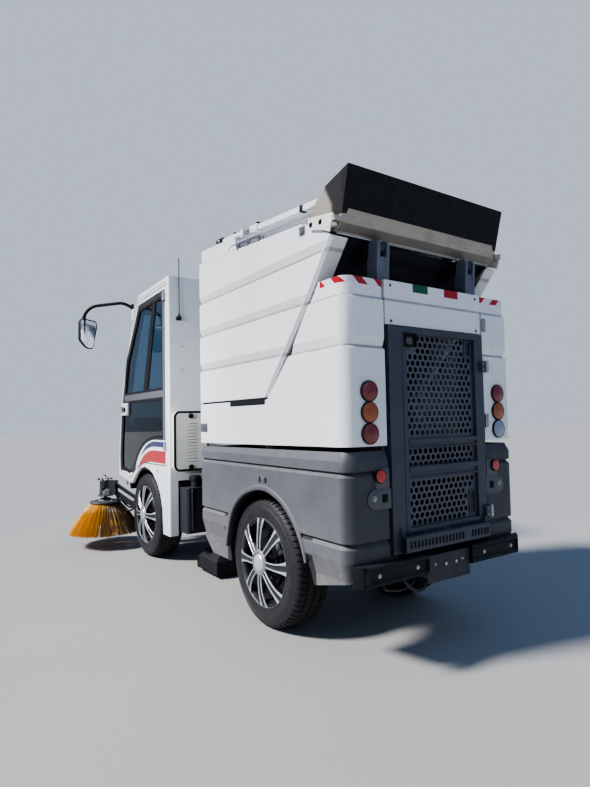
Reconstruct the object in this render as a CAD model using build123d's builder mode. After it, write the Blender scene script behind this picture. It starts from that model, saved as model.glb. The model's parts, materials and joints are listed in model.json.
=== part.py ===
from build123d import *
import math
import os

os.makedirs("parts", exist_ok=True)

# Compact street sweeper. Millimetres, +X forward, +Y left, +Z up.
# All x values below are measured from the rear face of the body; XR moves
# them into the row's frame, whose origin is the middle of the whole box.

# ---- driving dimensions ----
XR = -1637.5            # rear face of the body in the row's frame
HALF_W = 523            # body half width
CAB_HALF = 500          # cab half width
CAB_REAR = 1862         # rear face of the cab
CAB_SPLIT = 1884        # rear wall thickness ends here
WALL = 22               # side wall and door thickness
R_TYRE = 307.5          # tyre radius
R_RIM = 190.5           # rim seat radius
X_REAR = 696            # rear wheel centre
X_FRONT = 2440          # front wheel centre
FRONT_OUT = 470         # outer face of the front tyre
REAR_OUT = 493          # outer face of the rear tyre
TYRE_W = 195            # tyre width
KINGPIN_Y = 345         # kingpin
PIN_X, PIN_Z = 52, 1705         # hopper tipping axis
HOOD_X, HOOD_Z = 130, 1792      # hood axis
POST_Y = 278            # uprights
BRUSH_X, BRUSH_Y = 3030, 600    # brush axis
BRUSH_R, BRUSH_LOW, BRUSH_TOP = 290, 105, 345
FIT = 0.05              # radial running clearance of pins

# front curve of the cab, one circle in side view
FC_X, FC_Z, FC_R = 960, 615, 2083


def side(y):
    """side view plane at y, sketch x forward and y up, extrudes towards -Y"""
    return Plane(origin=(XR, y, 0), x_dir=(1, 0, 0), z_dir=(0, -1, 0))


def top(z):
    """plan view plane at z, extrudes upwards"""
    return Plane(origin=(XR, 0, z), x_dir=(1, 0, 0), z_dir=(0, 0, 1))


def back(x):
    """rear view plane at x, sketch x is Y and y is Z, extrudes forwards"""
    return Plane(origin=(XR + x, 0, 0), x_dir=(0, 1, 0), z_dir=(1, 0, 0))


def slab(pts, y0, t, mode=Mode.ADD):
    """side view outline from y0 inwards by t"""
    with BuildSketch(side(y0)) as face:
        with BuildLine():
            Polyline(*pts, close=True)
        make_face()
    extrude(face.sketch, amount=t, mode=mode)


def box(x, y, z, mode=Mode.ADD):
    """block from the ranges x, y and z"""
    with BuildSketch(top(z[0])) as face:
        with Locations(((x[0] + x[1]) / 2, (y[0] + y[1]) / 2)):
            Rectangle(x[1] - x[0], y[1] - y[0])
    extrude(face.sketch, amount=z[1] - z[0], mode=mode)


def rod_y(x, z, r, y0, y1, mode=Mode.ADD):
    """cylinder along Y from y0 to y1"""
    with BuildSketch(side(y1)) as face:
        with Locations((x, z)):
            Circle(r)
    extrude(face.sketch, amount=y1 - y0, mode=mode)


def rod_z(x, y, r, z0, z1, mode=Mode.ADD):
    """cylinder along Z from z0 to z1"""
    with BuildSketch(top(z0)) as face:
        with Locations((x, y)):
            Circle(r)
    extrude(face.sketch, amount=z1 - z0, mode=mode)


def rod_x(y, z, r, x0, x1, mode=Mode.ADD):
    """cylinder along X from x0 to x1"""
    with BuildSketch(back(x0)) as face:
        with Locations((y, z)):
            Circle(r)
    extrude(face.sketch, amount=x1 - x0, mode=mode)


def fc(deg, dr=0):
    """point on the cab's front curve"""
    a = math.radians(deg)
    return (FC_X + (FC_R + dr) * math.cos(a), FC_Z + (FC_R + dr) * math.sin(a))


def write(piece, name):
    piece.part.label = name
    export_step(piece.part, "parts/" + name + ".step")


# =====================================================================
# hopper
# =====================================================================
# columns: x, z of the side panel's outline
SLANT = [(59, 1718), (247, 1476), (409, 1293), (576, 1098)]
PANEL = SLANT + [(1310, 1098), (1310, 1905), (287, 1823), (240, 1815)]
GROOVES = [1696, 1503, 1305]

with BuildPart() as steps:
    for z in GROOVES:                       # chamfered steps along the panel
        with BuildSketch(back(-50)) as notch:
            with BuildLine():
                Polyline((HALF_W, z + 16), (HALF_W - 13, z - 22), (HALF_W - 12, z - 25), (HALF_W, z - 31),
                         (HALF_W + 5, z - 31), (HALF_W + 5, z + 16), close=True)
            make_face()
        extrude(notch.sketch, amount=1400)
    # they stop short of the slanted edge
    slab([(-100, 1800), (16, 1800), (74, 1730), (262, 1488), (424, 1305), (591, 1110), (602, 1096), (-100, 1096)],
         HALF_W + 10, 40, Mode.SUBTRACT)

with BuildPart() as hopper_side_panels:
    slab(PANEL, HALF_W, 21)
    add(steps.part, mode=Mode.SUBTRACT)
    # sloped return along the slanted rear edge
    for (x0, z0), (x1, z1) in zip(SLANT, SLANT[1:]):
        length = math.hypot(x1 - x0, z1 - z0)
        run = ((x1 - x0) / length, 0, (z1 - z0) / length)
        start = (XR + x0 - run[0] * 12, 0, z0 - run[2] * 12)
        with BuildSketch(Plane(origin=start, x_dir=(0, 1, 0), z_dir=run)) as wedge:
            with BuildLine():
                Polyline((HALF_W + 4, -5), (HALF_W - 11, -5), (HALF_W - 11, 0), (HALF_W, 15),
                         (HALF_W + 4, 20.5), close=True)
            make_face()
        extrude(wedge.sketch, amount=length + 24, mode=Mode.SUBTRACT)
    # return flange along the slanted rear edge
    slab(SLANT + [(587, 1098), (417, 1299), (255, 1482), (72, 1713)], HALF_W - 21, 62)
    mirror(about=Plane.XZ)
write(hopper_side_panels, "hopper_side_panels")

TUB = [(700, 1112), (1302, 1112), (1302, 1898), (287, 1818), (240, 1812), (112, 1738), (190, 1690)]
with BuildPart() as hopper_tub:
    slab(TUB, 502, 1004)
    # inside, open at the top under the lid and at the rear mouth
    slab([(708, 1122), (1292, 1122), (1292, 1960), (120, 1960), (119, 1746), (198, 1700)],
         494, 988, Mode.SUBTRACT)
    # ears of the hood's hinge
    for y in (502, -494):
        slab([(100, 1731), (180, 1777), (150, 1800), (110, 1800)], y, 8)
        rod_y(HOOD_X, HOOD_Z, 22, y - 8, y)
    rod_y(HOOD_X, HOOD_Z, 10 + FIT, -530, 530, Mode.SUBTRACT)
    # suction inlet in the floor
    rod_z(1215, 0, 79, 1100, 1130, Mode.SUBTRACT)
    # lugs on the tipping pins
    for y in (POST_Y, -POST_Y):
        slab([(60, 1690), (160, 1660), (240, 1660), (195, 1692), (118, 1737), (60, 1724)], y + 12, 24)
        rod_y(PIN_X, PIN_Z, 24, y - 12, y + 12)
        rod_y(PIN_X, PIN_Z, 10 + FIT, y - 13, y + 13, Mode.SUBTRACT)
write(hopper_tub, "hopper_tub")

LID_X0, LID_X1 = 287, 1310


def fold(x):
    """top fold of the side panel"""
    return 1827 + (x - 287) * 0.0802


def roof(x):
    """roof line"""
    return 1912 + (x - 287) * 0.0733


with BuildPart() as hopper_lid:
    # raised middle
    slab([(LID_X0, fold(LID_X0)), (LID_X1, fold(LID_X1)), (LID_X1, roof(LID_X1)), (LID_X0, roof(LID_X0))],
         425, 850)
    slab([(LID_X0 - 5, fold(LID_X0) - 8), (LID_X1 - 8, fold(LID_X1) - 8), (LID_X1 - 8, roof(LID_X1) - 8),
          (LID_X0 - 5, roof(LID_X0) - 8)], 417, 834, Mode.SUBTRACT)
    # troughs for the roof cylinders, their lips and their front ends
    for y in (507, -425):
        slab([(LID_X0, fold(LID_X0)), (LID_X1, fold(LID_X1)), (LID_X1, fold(LID_X1) + 8),
              (LID_X0, fold(LID_X0) + 8)], y, 82)
        slab([(LID_X1 - 8, fold(LID_X1)), (LID_X1, fold(LID_X1)), (LID_X1, roof(LID_X1)),
              (LID_X1 - 8, roof(LID_X1))], y, 82)
    for y in (507, -499):
        slab([(880, fold(880)), (LID_X1, fold(LID_X1)), (LID_X1, roof(LID_X1)), (900, roof(900))], y, 8)
    # clevises of the roof cylinders
    for y in (440, 490, -434, -484):
        slab([(1105, 1900), (1160, 1900), (1145, 1990), (1120, 1990)], y, 6)
        rod_y(1130, 1995, 13, y - 6, y)
    for y0, y1 in ((434, 490), (-490, -434)):
        rod_y(1130, 1995, 8, y0, y1)
write(hopper_lid, "hopper_lid")

# ---- roof cylinders ----
BAR = Plane(origin=(XR + 1130, 0, 1995), x_dir=(950 / 953.62, 0, 83 / 953.62), z_dir=(0, -1, 0))
with BuildPart() as hood_barrels:
    for y in (462, -462):
        with BuildSketch(Plane(origin=(XR + 1130, y, 1995), x_dir=(0, 1, 0),
                               z_dir=(-950 / 953.62, 0, -83 / 953.62))):
            Circle(20)
        extrude(amount=275)
        with BuildSketch(Plane(origin=(XR + 1130, y, 1995), x_dir=(0, 1, 0),
                               z_dir=(950 / 953.62, 0, 83 / 953.62))):
            Circle(20)
        extrude(amount=16)
        rod_y(1130, 1995, 8 + FIT, y - 21, y + 21, Mode.SUBTRACT)
        with BuildSketch(Plane(origin=(XR + 1130 - 950 * 0.05, y, 1995 - 83 * 0.05), x_dir=(0, 1, 0),
                               z_dir=(-950 / 953.62, 0, -83 / 953.62))):
            Circle(12 + FIT)
        extrude(amount=260, mode=Mode.SUBTRACT)
write(hood_barrels, "hood_barrels")

with BuildPart() as hood_rods:
    for y in (462, -462):
        with BuildSketch(Plane(origin=(XR + 1130 - 950 * 0.13, y, 1995 - 83 * 0.13), x_dir=(0, 1, 0),
                               z_dir=(-950 / 953.62, 0, -83 / 953.62))):
            Circle(12)
        extrude(amount=260)
        with BuildSketch(Plane(origin=(XR + 1130 - 950 * 0.362, y, 1995 - 83 * 0.362), x_dir=(0, 1, 0),
                               z_dir=(-950 / 953.62, 0, -83 / 953.62))):
            Rectangle(26, 26)
        extrude(amount=598)
        rod_y(180, 1912, 14, y - 12, y + 14)
        rod_y(180, 1912, 8, y - 18, y + 18)
write(hood_rods, "hood_rods")

# ---- discharge hood ----
HOOD = [(-9, 1990), (33, 1818), (46, 1775), (84, 1742), (100, 1750), (240, 1826), (262, 1838),
        (260, 1851), (207, 1907), (136, 1953)]
HOOD_IN = [(2, 1981), (39, 1820), (52, 1778), (88, 1748), (96, 1740), (272, 1830), (254, 1849),
           (203, 1902), (133, 1947)]
with BuildPart() as discharge_hood:
    slab(HOOD, 488, 976)
    slab(HOOD_IN, 482, 964, Mode.SUBTRACT)
    # slots over the levers
    for y in (482, -440):
        slab([(150, 1890), (300, 1820), (300, 1930), (150, 1975)], y, 42, Mode.SUBTRACT)
    # side brackets outside the hopper's panels, bridged over the panel's edge
    for y in (534.5, -528.5):
        slab([(206, 1826), (36, 1798), (60, 1728), (100, 1746), (194, 1774)], y, 6)
    for y in (530, -486):
        slab([(36, 1770), (72, 1776), (72, 1792), (36, 1792)], y, 44)
    # hinge pins
    for y0, y1 in ((482, 530), (-530, -482)):
        rod_y(HOOD_X, HOOD_Z, 10, y0, y1)
write(discharge_hood, "discharge_hood")

# =====================================================================
# rear module
# =====================================================================
COVER = [(0, 880), (1310, 868), (1310, 1088), (567, 1088), (391, 1291), (229, 1476), (171, 1552), (0, 1552)]
BOX_LEN, BOX_CORNER = 1340, 55
# columns: lower z, upper z, inset at the lower z, inset at the upper z
COVER_RINGS = [(860, 1269, 0, 0), (1269, 1276, 0, 12), (1276, 1316, 12, 0), (1316, 1468, 0, 0),
               (1468, 1478, 0, 9), (1478, 1560, 9, 9)]
SKIRT_RINGS = [(290, 360, 24, 22), (360, 440, 22, 0), (440, 488, 0, 0), (488, 502, 0, 12), (502, 512, 12, 12), (512, 762, 0, 0),
               (762, 776, 0, 12), (776, 784, 12, 12), (784, 824, 0, 0), (824, 862, 0, 16)]


def plan(z, inset):
    """plan view outline of the rear module, set in by inset, its rear corners rounded"""
    w, x0, c = HALF_W - inset, inset, BOX_CORNER - inset * 0.5
    with BuildSketch(top(z)) as outline:
        with BuildLine():
            FilletPolyline((BOX_LEN, w), (x0, w), (x0, -w), (BOX_LEN, -w), radius=c)
            Line((BOX_LEN, -w), (BOX_LEN, w))
        make_face()
    return outline.sketch


def rings(table):
    """stack of rings, each lofted between its two insets"""
    for z0, z1, i0, i1 in table:
        if i0 == i1:
            extrude(plan(z0, i0), amount=z1 - z0)
        else:
            loft(sections=[plan(z0, i0), plan(z1, i1)])


with BuildPart() as body_covers:
    rings(COVER_RINGS)
    # cut to the side outline
    slab([(-40, 800), (-40, 880), (0, 880), (1310, 868), (1310, 800)], 540, 1080, Mode.SUBTRACT)
    slab([(1310, 700), (1310, 1088), (571, 1088), (366, 1290), (171, 1552), (-60, 1552), (-60, 1700),
          (1500, 1700), (1500, 700)], 540, 1080, Mode.SUBTRACT)
    # inside
    box((40, 1400), (-(HALF_W - 27), HALF_W - 27), (800, 1600), Mode.SUBTRACT)
    box((26, 1400), (-(HALF_W - 60), HALF_W - 60), (800, 1600), Mode.SUBTRACT)
    # door bay
    box((-40, 80), (-311, 311), (800, 1600), Mode.SUBTRACT)
    # panel above the rear door
    box((2, 26), (-303, 303), (1372, 1556))
write(body_covers, "body_covers")

SKIRT_CUT = [(1300, 331), (1208, 261), (988, 258), (1000, 331), (992, 376), (981, 412), (964, 463), (941, 511),
             (910, 551), (868, 587), (828, 612), (777, 634), (723, 650), (670, 659), (620, 661), (575, 655),
             (524, 641), (490, 628), (452, 609), (402, 570), (353, 519), (316, 461), (292, 405), (284, 378), (258, 304), (-2, 365)]
with BuildPart() as lower_skirts:
    rings(SKIRT_RINGS)
    with BuildSketch(top(240)):
        with Locations(((948 + 1300) / 2, 0)):
            Rectangle(1300 - 948, 2 * HALF_W - 44)
    extrude(amount=122)
    box((1300, 1400), (-540, 540), (200, 900), Mode.SUBTRACT)
    # top edge, underside and wheel arches
    slab([(-60, 861), (1400, 849), (1400, 900), (-60, 900)], 540, 1080, Mode.SUBTRACT)
    slab(SKIRT_CUT + [(-60, 372), (-60, 200), (1400, 200), (1400, 331)], 540, 1080, Mode.SUBTRACT)
    # inside
    box((40, 1400), (-(HALF_W - 40), HALF_W - 40), (200, 900), Mode.SUBTRACT)
    box((28, 1400), (-(HALF_W - 70), HALF_W - 70), (200, 900), Mode.SUBTRACT)
    # door bay
    box((-40, 80), (-311, 311), (200, 900), Mode.SUBTRACT)
    # bulkhead behind the cab, notched for the suction hose
    box((1276, 1284), (-(HALF_W - 38), HALF_W - 38), (490, 849))
    box((1270, 1290), (-112, 112), (740, 900), Mode.SUBTRACT)
    # wheel housing sheets, one each side
    for y in (HALF_W - 30, -(HALF_W - 250)):
        slab([(1006, 372), (946, 545), (854, 631), (762, 671), (660, 678), (536, 656), (434, 610), (334, 524),
              (290, 442), (280, 385), (286, 381), (296, 440), (340, 520), (440, 605), (540, 650), (660, 672),
              (760, 665), (850, 625), (940, 540), (1002, 372)], y, 220)
write(lower_skirts, "lower_skirts")

with BuildPart() as hopper_posts:
    for y in (POST_Y, -POST_Y):
        # channel section post
        box((32, 92), (y - 34, y + 34), (480, 1660))
        box((38, 100), (y - 28, y + 28), (470, 1680), Mode.SUBTRACT)
        # clevis ears
        for y1 in (y + 34, y - 18):
            slab([(32, 1600), (92, 1600), (80, 1705), (24, 1705)], y1, 16)
            rod_y(PIN_X, PIN_Z, 28, y1 - 16, y1)
        rod_y(PIN_X, PIN_Z, 10, y - 34, y + 34)
write(hopper_posts, "hopper_posts")

with BuildPart() as rear_door_frame:
    box((-8, 24), (-298, 297), (444, 1366))
    box((-20, 40), (-240, 197), (540, 1340), Mode.SUBTRACT)
    # two rails across the grille
    box((-12, 10), (-240, 197), (884, 900))
    box((-12, 10), (-240, 197), (768, 784))
    # perforated step along the bottom
    box((-40, -8), (-262, 262), (452, 512))
    # hinge knuckles
    for z in (560, 1220):
        box((-24, -8), (-312, -270), (z - 24, z + 24))
        rod_z(-18, -312, 9, z - 24, z + 24)
write(rear_door_frame, "rear_door_frame")

with BuildPart() as rear_grille:
    box((11, 15), (-240, 197), (540, 1340))
write(rear_grille, "rear_grille")

with BuildPart() as rear_bumper:
    for s in (1, -1):
        y = 324.5 * s
        box((-45, -2), (y - 189.5, y + 189.5), (350, 431))
        box((-36, 20), (y - 200, y + 200), (359, 422), Mode.SUBTRACT)
        box((-36, 12), (220 * s - 28, 220 * s + 28), (386, 422))
        # outer end cut at a slant
        with BuildSketch(top(340)):
            with BuildLine():
                Polyline((-60, 448 * s), (-2, 514 * s), (-2, 530 * s), (-60, 530 * s), close=True)
            make_face()
        extrude(amount=100, mode=Mode.SUBTRACT)
    # plate bracket between the halves, its two screw holes and its arms
    box((-30, -22), (-133, 133), (306, 420))
    for y in (-85, 85):
        rod_x(y, 380, 3.25, -40, 0, Mode.SUBTRACT)
    for y in (-115, 115):
        box((-22, 40), (y - 8, y + 8), (396, 416))
write(rear_bumper, "rear_bumper")

# columns: y, z, radius of the round lamps
LAMPS = [(405, 1097, 40), (405, 1014, 40), (405, 930, 40), (362, 762, 27)]
with BuildPart() as lamps:
    for y, z, r in LAMPS:
        rod_x(y, z, r, -16, 0)
    rod_x(330, 640, 62, 3024, 3050)
    mirror(about=Plane.XZ)
write(lamps, "lamps")

with BuildPart() as engine_block:
    box((320, 1000), (-180, 180), (520, 1040))
write(engine_block, "engine_block")

# =====================================================================
# chassis
# =====================================================================
with BuildPart() as chassis_frame:
    for s in (-1, 1):
        box((30, 2080), (220 * s - 30, 220 * s + 30), (380, 480))
        box((12, 30), (220 * s - 30, 220 * s + 30), (380, 432))
        box((2060, 2930), (80 * s - 30, 80 * s + 30), (380, 460))
        # floor supports
        box((1990, 2050), (220 * s - 30, 220 * s + 30), (480, 640))
        box((2860, 2920), (80 * s - 30, 80 * s + 30), (460, 585))
        # brush carriers
        box((2800, 2870), (min(s * 50, s * 336), max(s * 50, s * 336)), (280, 320))
        box((2800, 2870), (80 * s - 30, 80 * s + 30), (300, 385))
        # axle seats
        box((656, 736), (220 * s - 30, 220 * s + 30), (340, 385))
        box((2410, 2470), (80 * s - 30, 80 * s + 30), (325, 385))
        # skirt brackets
        for x in (120, 1180):
            box((x - 20, x + 20), (min(s * 240, s * 483), max(s * 240, s * 483)), (430, 460))
    for x in (40, 1150, 1980, 2040):
        box((x, x + 40), (-240, 240), (392, 468))
    box((2860, 2920), (-100, 100), (392, 448))
    rod_y(X_REAR, R_TYRE, 36, -290, 290, Mode.SUBTRACT)
write(chassis_frame, "chassis_frame")

with BuildPart() as front_axle:
    box((X_FRONT - 30, X_FRONT + 30), (-KINGPIN_Y, KINGPIN_Y), (280, 324.9))
    for y in (KINGPIN_Y, -KINGPIN_Y):
        rod_z(X_FRONT, y, 24, 280, 324.9)
        box((X_FRONT - 40, X_FRONT + 40), (y - 40, y + 40), (270, 279.9), Mode.SUBTRACT)
        rod_z(X_FRONT, y, 12, 262, 345)
write(front_axle, "front_axle")

with BuildPart() as rear_axle:
    rod_y(X_REAR, R_TYRE, 36, -290, 290)
    with BuildSketch(side(0)):
        with Locations((X_REAR, R_TYRE)):
            Circle(110)
    extrude(amount=60, both=True, taper=20)
    for y0, y1 in ((289, 445), (-445, -289)):
        rod_y(X_REAR, R_TYRE, 19.3, y0, y1)
write(rear_axle, "rear_axle")


def tyre_ring(x, y_in, y_out, s):
    """tyre turned about its axle; y_in and y_out are its inner and outer faces, s the side"""
    with BuildSketch(Plane(origin=(XR + x, 0, 0), x_dir=(0, 1, 0), z_dir=(1, 0, 0))) as ring:
        with BuildLine():
            a, b = s * y_in, s * y_out
            k = s
            z = R_TYRE
            l1 = Line((a + 16 * k, z + R_RIM), (b - 16 * k, z + R_RIM))
            l2 = ThreePointArc(l1 @ 1, (b, z + R_RIM + 52), (b - 6 * k, z + R_TYRE - 26))
            l3 = Line(l2 @ 1, (b - 26 * k, z + R_TYRE))
            l4 = Line(l3 @ 1, (a + 26 * k, z + R_TYRE))
            l5 = Line(l4 @ 1, (a + 6 * k, z + R_TYRE - 26))
            ThreePointArc(l5 @ 1, (a, z + R_RIM + 52), l1 @ 0)
        make_face()
    revolve(ring.sketch, axis=Axis((XR + x, 0, R_TYRE), (0, 1, 0)))


def rim_ring(x, y_in, y_out, s):
    """rim with its disc and hub, turned about its axle"""
    a, b, k = s * y_in, s * y_out, s
    with BuildSketch(Plane(origin=(XR + x, 0, R_TYRE), x_dir=(0, 1, 0), z_dir=(1, 0, 0))) as ring:
        with BuildLine():
            Polyline((a + 20 * k, R_RIM - 0.2), (b - 20 * k, R_RIM - 0.2), (b - 20 * k, R_RIM - 8),
                     (b - 50 * k, R_RIM - 12), (b - 50 * k, 52), (b - 22 * k, 44), (b - 22 * k, 30),
                     (b - 44 * k, 30), (b - 44 * k, 20 + FIT), (b - 90 * k, 20 + FIT), (b - 90 * k, 46),
                     (b - 58 * k, 56), (b - 58 * k, R_RIM - 14), (a + 26 * k, R_RIM - 8),
                     (a + 20 * k, R_RIM - 8), close=True)
        make_face()
    revolve(ring.sketch, axis=Axis((XR + x, 0, R_TYRE), (0, 1, 0)))


# columns: name, x, inner face, outer face, side
WHEELS = [("front_left", X_FRONT, FRONT_OUT - TYRE_W, FRONT_OUT, 1),
          ("front_right", X_FRONT, FRONT_OUT - TYRE_W, FRONT_OUT, -1),
          ("rear_left", X_REAR, REAR_OUT - TYRE_W, REAR_OUT, 1),
          ("rear_right", X_REAR, REAR_OUT - TYRE_W, REAR_OUT, -1)]
for name, x, y_in, y_out, s in WHEELS:
    with BuildPart() as tyre:
        tyre_ring(x, y_in, y_out, s)
    write(tyre, name + "_tyre")
    with BuildPart() as rim:
        rim_ring(x, y_in, y_out, s)
    write(rim, name + "_rim")

with BuildPart() as left_knuckle:
    # fork arms above and below the axle end, web and spindle
    for z0, z1 in ((326, 344), (262, 279)):
        box((X_FRONT - 24, X_FRONT + 24), (KINGPIN_Y - 22, 380), (z0, z1))
    rod_z(X_FRONT, KINGPIN_Y, 12 + FIT, 255, 350, Mode.SUBTRACT)
    box((X_FRONT - 24, X_FRONT + 24), (372, 379.5), (262, 344))
    rod_y(X_FRONT, R_TYRE, 19.3, 379, 424)
write(left_knuckle, "left_knuckle")
with BuildPart() as right_knuckle:
    mirror(left_knuckle.part, about=Plane.XZ)
write(right_knuckle, "right_knuckle")

# =====================================================================
# cab
# =====================================================================
ARCH = [(1984, 238), (1996, 397), (2033, 494), (2098, 571), (2180, 628), (2270, 658), (2361, 669), (2460, 650),
        (2553, 600), (2628, 541), (2655, 522)]


def cab_side(dr, base):
    """side outline of the cab: its front curve, offset by dr, closed through the points of base"""
    with BuildLine() as outline:
        curve = CenterArc((FC_X, FC_Z), FC_R + dr, -1.0, 39.59)
        Polyline(curve @ 1, *base, curve @ 0)
    return outline.edges()


with BuildPart() as cab_frame:
    with BuildSketch(side(CAB_HALF)):
        make_face(cab_side(0, [(2480, 1962), (CAB_SPLIT, 1976), (CAB_SPLIT, 238)] + ARCH))
    extrude(amount=2 * CAB_HALF)
    # rounded front corners
    front = cab_frame.edges().filter_by(GeomType.CIRCLE).group_by(Axis.X)[-1]
    fillet(front, 70)
    # inside
    with BuildSketch(side(CAB_HALF - WALL)):
        make_face(cab_side(-WALL, [(2470, 1934), (CAB_SPLIT - 2, 1946), (CAB_SPLIT - 2, 200), (3030, 200)]))
    extrude(amount=2 * (CAB_HALF - WALL), mode=Mode.SUBTRACT)
    # door openings
    DOOR_CUT = [(1930, 694), (1930, 1900), (2478, 1886), (2772, 1500), (2918, 1080), (2962, 727), (2950, 590),
                (2686, 556), (2645, 575), (2572, 626), (2470, 672), (2375, 692)]
    slab(DOOR_CUT, 520, 1040, Mode.SUBTRACT)
    # windscreen opening
    box((2500, 3100), (-405, 405), (770, 1868), Mode.SUBTRACT)
    # headlamp holes
    for y in (330, -330):
        rod_x(y, 640, 62.1, 3000, 3060, Mode.SUBTRACT)
write(cab_frame, "cab_frame")

with BuildPart() as windscreen:
    with BuildSketch(side(404)):
        with BuildLine():
            a0, a1 = 4.6, 36.6
            outer = CenterArc((FC_X, FC_Z), FC_R - 6, a0, a1 - a0)
            inner = CenterArc((FC_X, FC_Z), FC_R - 12, a0, a1 - a0)
            Line(outer @ 0, inner @ 0)
            Line(outer @ 1, inner @ 1)
        make_face()
    extrude(amount=808)
write(windscreen, "windscreen")

with BuildPart() as cab_rear_wall:
    with BuildSketch(back(CAB_REAR)):
        with BuildLine():
            Polyline((500, 238), (500, 1976), (-500, 1976), (-500, 238), (-440, 238), (-440, 600), (440, 600),
                     (440, 238), close=True)
        make_face()
    extrude(amount=WALL - 0.2)
    corners = cab_rear_wall.edges().filter_by(Axis.Z).group_by(Axis.X)[0]
    fillet([corners.sort_by(Axis.Y)[0], corners.sort_by(Axis.Y)[-1]], 12)
write(cab_rear_wall, "cab_rear_wall")

with BuildPart() as front_bumper:
    slab([(2985, 440), (3012, 440), (3040, 520), (3040, 570), (2985, 570)], 400, 800)
    slab([(2900, 448), (3004, 448), (3030, 520), (3030, 580), (2900, 580)], 390, 780, Mode.SUBTRACT)
    for y0, y1 in ((-110, -90), (90, 110)):
        box((2930, 3012), (y0, y1), (440, 448))
write(front_bumper, "front_bumper")

with BuildPart() as cab_floor:
    box((CAB_SPLIT, 2740), (-476, 476), (640, 658))
    box((2722, 2740), (-476, 476), (585, 658))
    box((2722, 3018), (-476, 476), (585, 600))
    # seat pedestal
    box((2010, 2400), (-190, 190), (658, 940))
write(cab_floor, "cab_floor")

with BuildPart() as seat_base:
    box((2010, 2440), (-230, 230), (942, 1050))
    fillet(seat_base.edges().filter_by(Axis.X), 30)
write(seat_base, "seat_base")

with BuildPart() as seat_back:
    slab([(2062, 1060), (1978, 1620), (1912, 1620), (1962, 1060)], 215, 430)
write(seat_back, "seat_back")

with BuildPart() as dashboard:
    slab([(2760, 602), (2940, 602), (2980, 760), (2960, 960), (2840, 1040), (2760, 1000)], 420, 840)
    # steering column and wheel
    with BuildSketch(Plane(origin=(XR + 2820, 0, 960), x_dir=(0, 1, 0), z_dir=(-0.766, 0, 0.643))):
        Circle(28)
    extrude(amount=266)
    with BuildSketch(Plane(origin=(XR + 2820 - 0.766 * 262, 0, 960 + 0.643 * 262), x_dir=(0, 1, 0),
                           z_dir=(-0.766, 0, 0.643))):
        Circle(195)
        Circle(170, mode=Mode.SUBTRACT)
        Rectangle(350, 34)
        Circle(50)
    extrude(amount=22)
write(dashboard, "dashboard")

with BuildPart() as cab_rear_cover:
    box((1815, 1861), (240, 482), (667, 1059))
    fillet(cab_rear_cover.edges().filter_by(Axis.X), 34)
write(cab_rear_cover, "cab_rear_cover")

with BuildPart() as fuel_tank:
    box((1722, 1856), (256, 436), (268, 560))
    fillet(fuel_tank.edges().filter_by(Axis.Z), 22)
    rod_z(1786, 352, 30, 560, 600)
    rod_z(1786, 352, 38, 600, 634)
write(fuel_tank, "fuel_tank")

# doors: frame with two window cuts, and the two panes
DOOR = [(1938, 702), (1938, 1892), (2473, 1879), (2764, 1498), (2909, 1080), (2953, 727), (2941, 597),
        (2689, 564), (2650, 582), (2577, 633), (2473, 680), (2376, 700)]
UPPER = [(1978, 1212), (1978, 1862), (2458, 1850), (2738, 1488), (2832, 1212)]
LOWER = [(1978, 1164), (2848, 1164), (2876, 1080), (2920, 727), (2911, 620), (2700, 592), (2600, 660),
         (2480, 770), (2380, 830), (2250, 866), (2100, 880), (1978, 882)]
with BuildPart() as left_door_frame:
    slab(DOOR, CAB_HALF, WALL)
    slab(UPPER, CAB_HALF + 5, WALL + 10, Mode.SUBTRACT)
    slab(LOWER, CAB_HALF + 5, WALL + 10, Mode.SUBTRACT)
    # hinge barrels on the rear edge
    for z in (830, 1850):
        box((1930, 1960), (500, 514), (z - 26, z + 26))
        rod_z(1928, 508, 8, z - 26, z + 26)
write(left_door_frame, "left_door_frame")
with BuildPart() as right_door_frame:
    mirror(left_door_frame.part, about=Plane.XZ)
write(right_door_frame, "right_door_frame")

with BuildPart() as left_door_glass:
    slab(UPPER, 492, 5)
    slab(LOWER, 492, 5)
write(left_door_glass, "left_door_glass")
with BuildPart() as right_door_glass:
    mirror(left_door_glass.part, about=Plane.XZ)
write(right_door_glass, "right_door_glass")

# mirrors: bent tube arms and their heads
with BuildPart() as mirrors:
    with BuildLine() as arm:
        FilletPolyline((XR + 2640, 496, 1900), (XR + 2672, 560, 1938), (XR + 2810, 760, 1912), (XR + 2850, 812, 1850),
                       (XR + 2852, 812, 1790), radius=30)
    with BuildSketch(Plane(origin=arm.line @ 0, z_dir=arm.line % 0)):
        Circle(11)
    sweep(path=arm.line)
    with BuildSketch(Plane(origin=(XR + 2838, 0, 0), x_dir=(0, 1, 0), z_dir=(1, 0, 0))):
        with Locations((778, 1700)):
            RectangleRounded(163, 238, 34)
    extrude(amount=48)
    mirror(about=Plane.XZ)
write(mirrors, "mirrors")

with BuildPart() as antenna:
    rod_x(434, 1691, 15, 1838, 1862)
    rod_z(1846, 430, 3, 1691, 2100)
write(antenna, "antenna")

# =====================================================================
# suction
# =====================================================================
with BuildPart() as suction_nozzle:
    with BuildSketch(top(24)):
        with Locations((1690, 0)):
            Rectangle(300, 640)
    extrude(amount=120)
    chamfer(suction_nozzle.edges().group_by(Axis.Z)[-1], 40)
    with BuildSketch(top(20)):
        with Locations((1690, 0)):
            Rectangle(276, 616)
    extrude(amount=90, mode=Mode.SUBTRACT)
    rod_z(1640, 0, 78, 130, 210)
    rod_z(1640, 0, 70, 90, 220, Mode.SUBTRACT)
    # hangers to the frame
    for y in (-220, 220):
        box((1660, 1700), (y - 12, y + 12), (120, 380))
write(suction_nozzle, "suction_nozzle")

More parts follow.
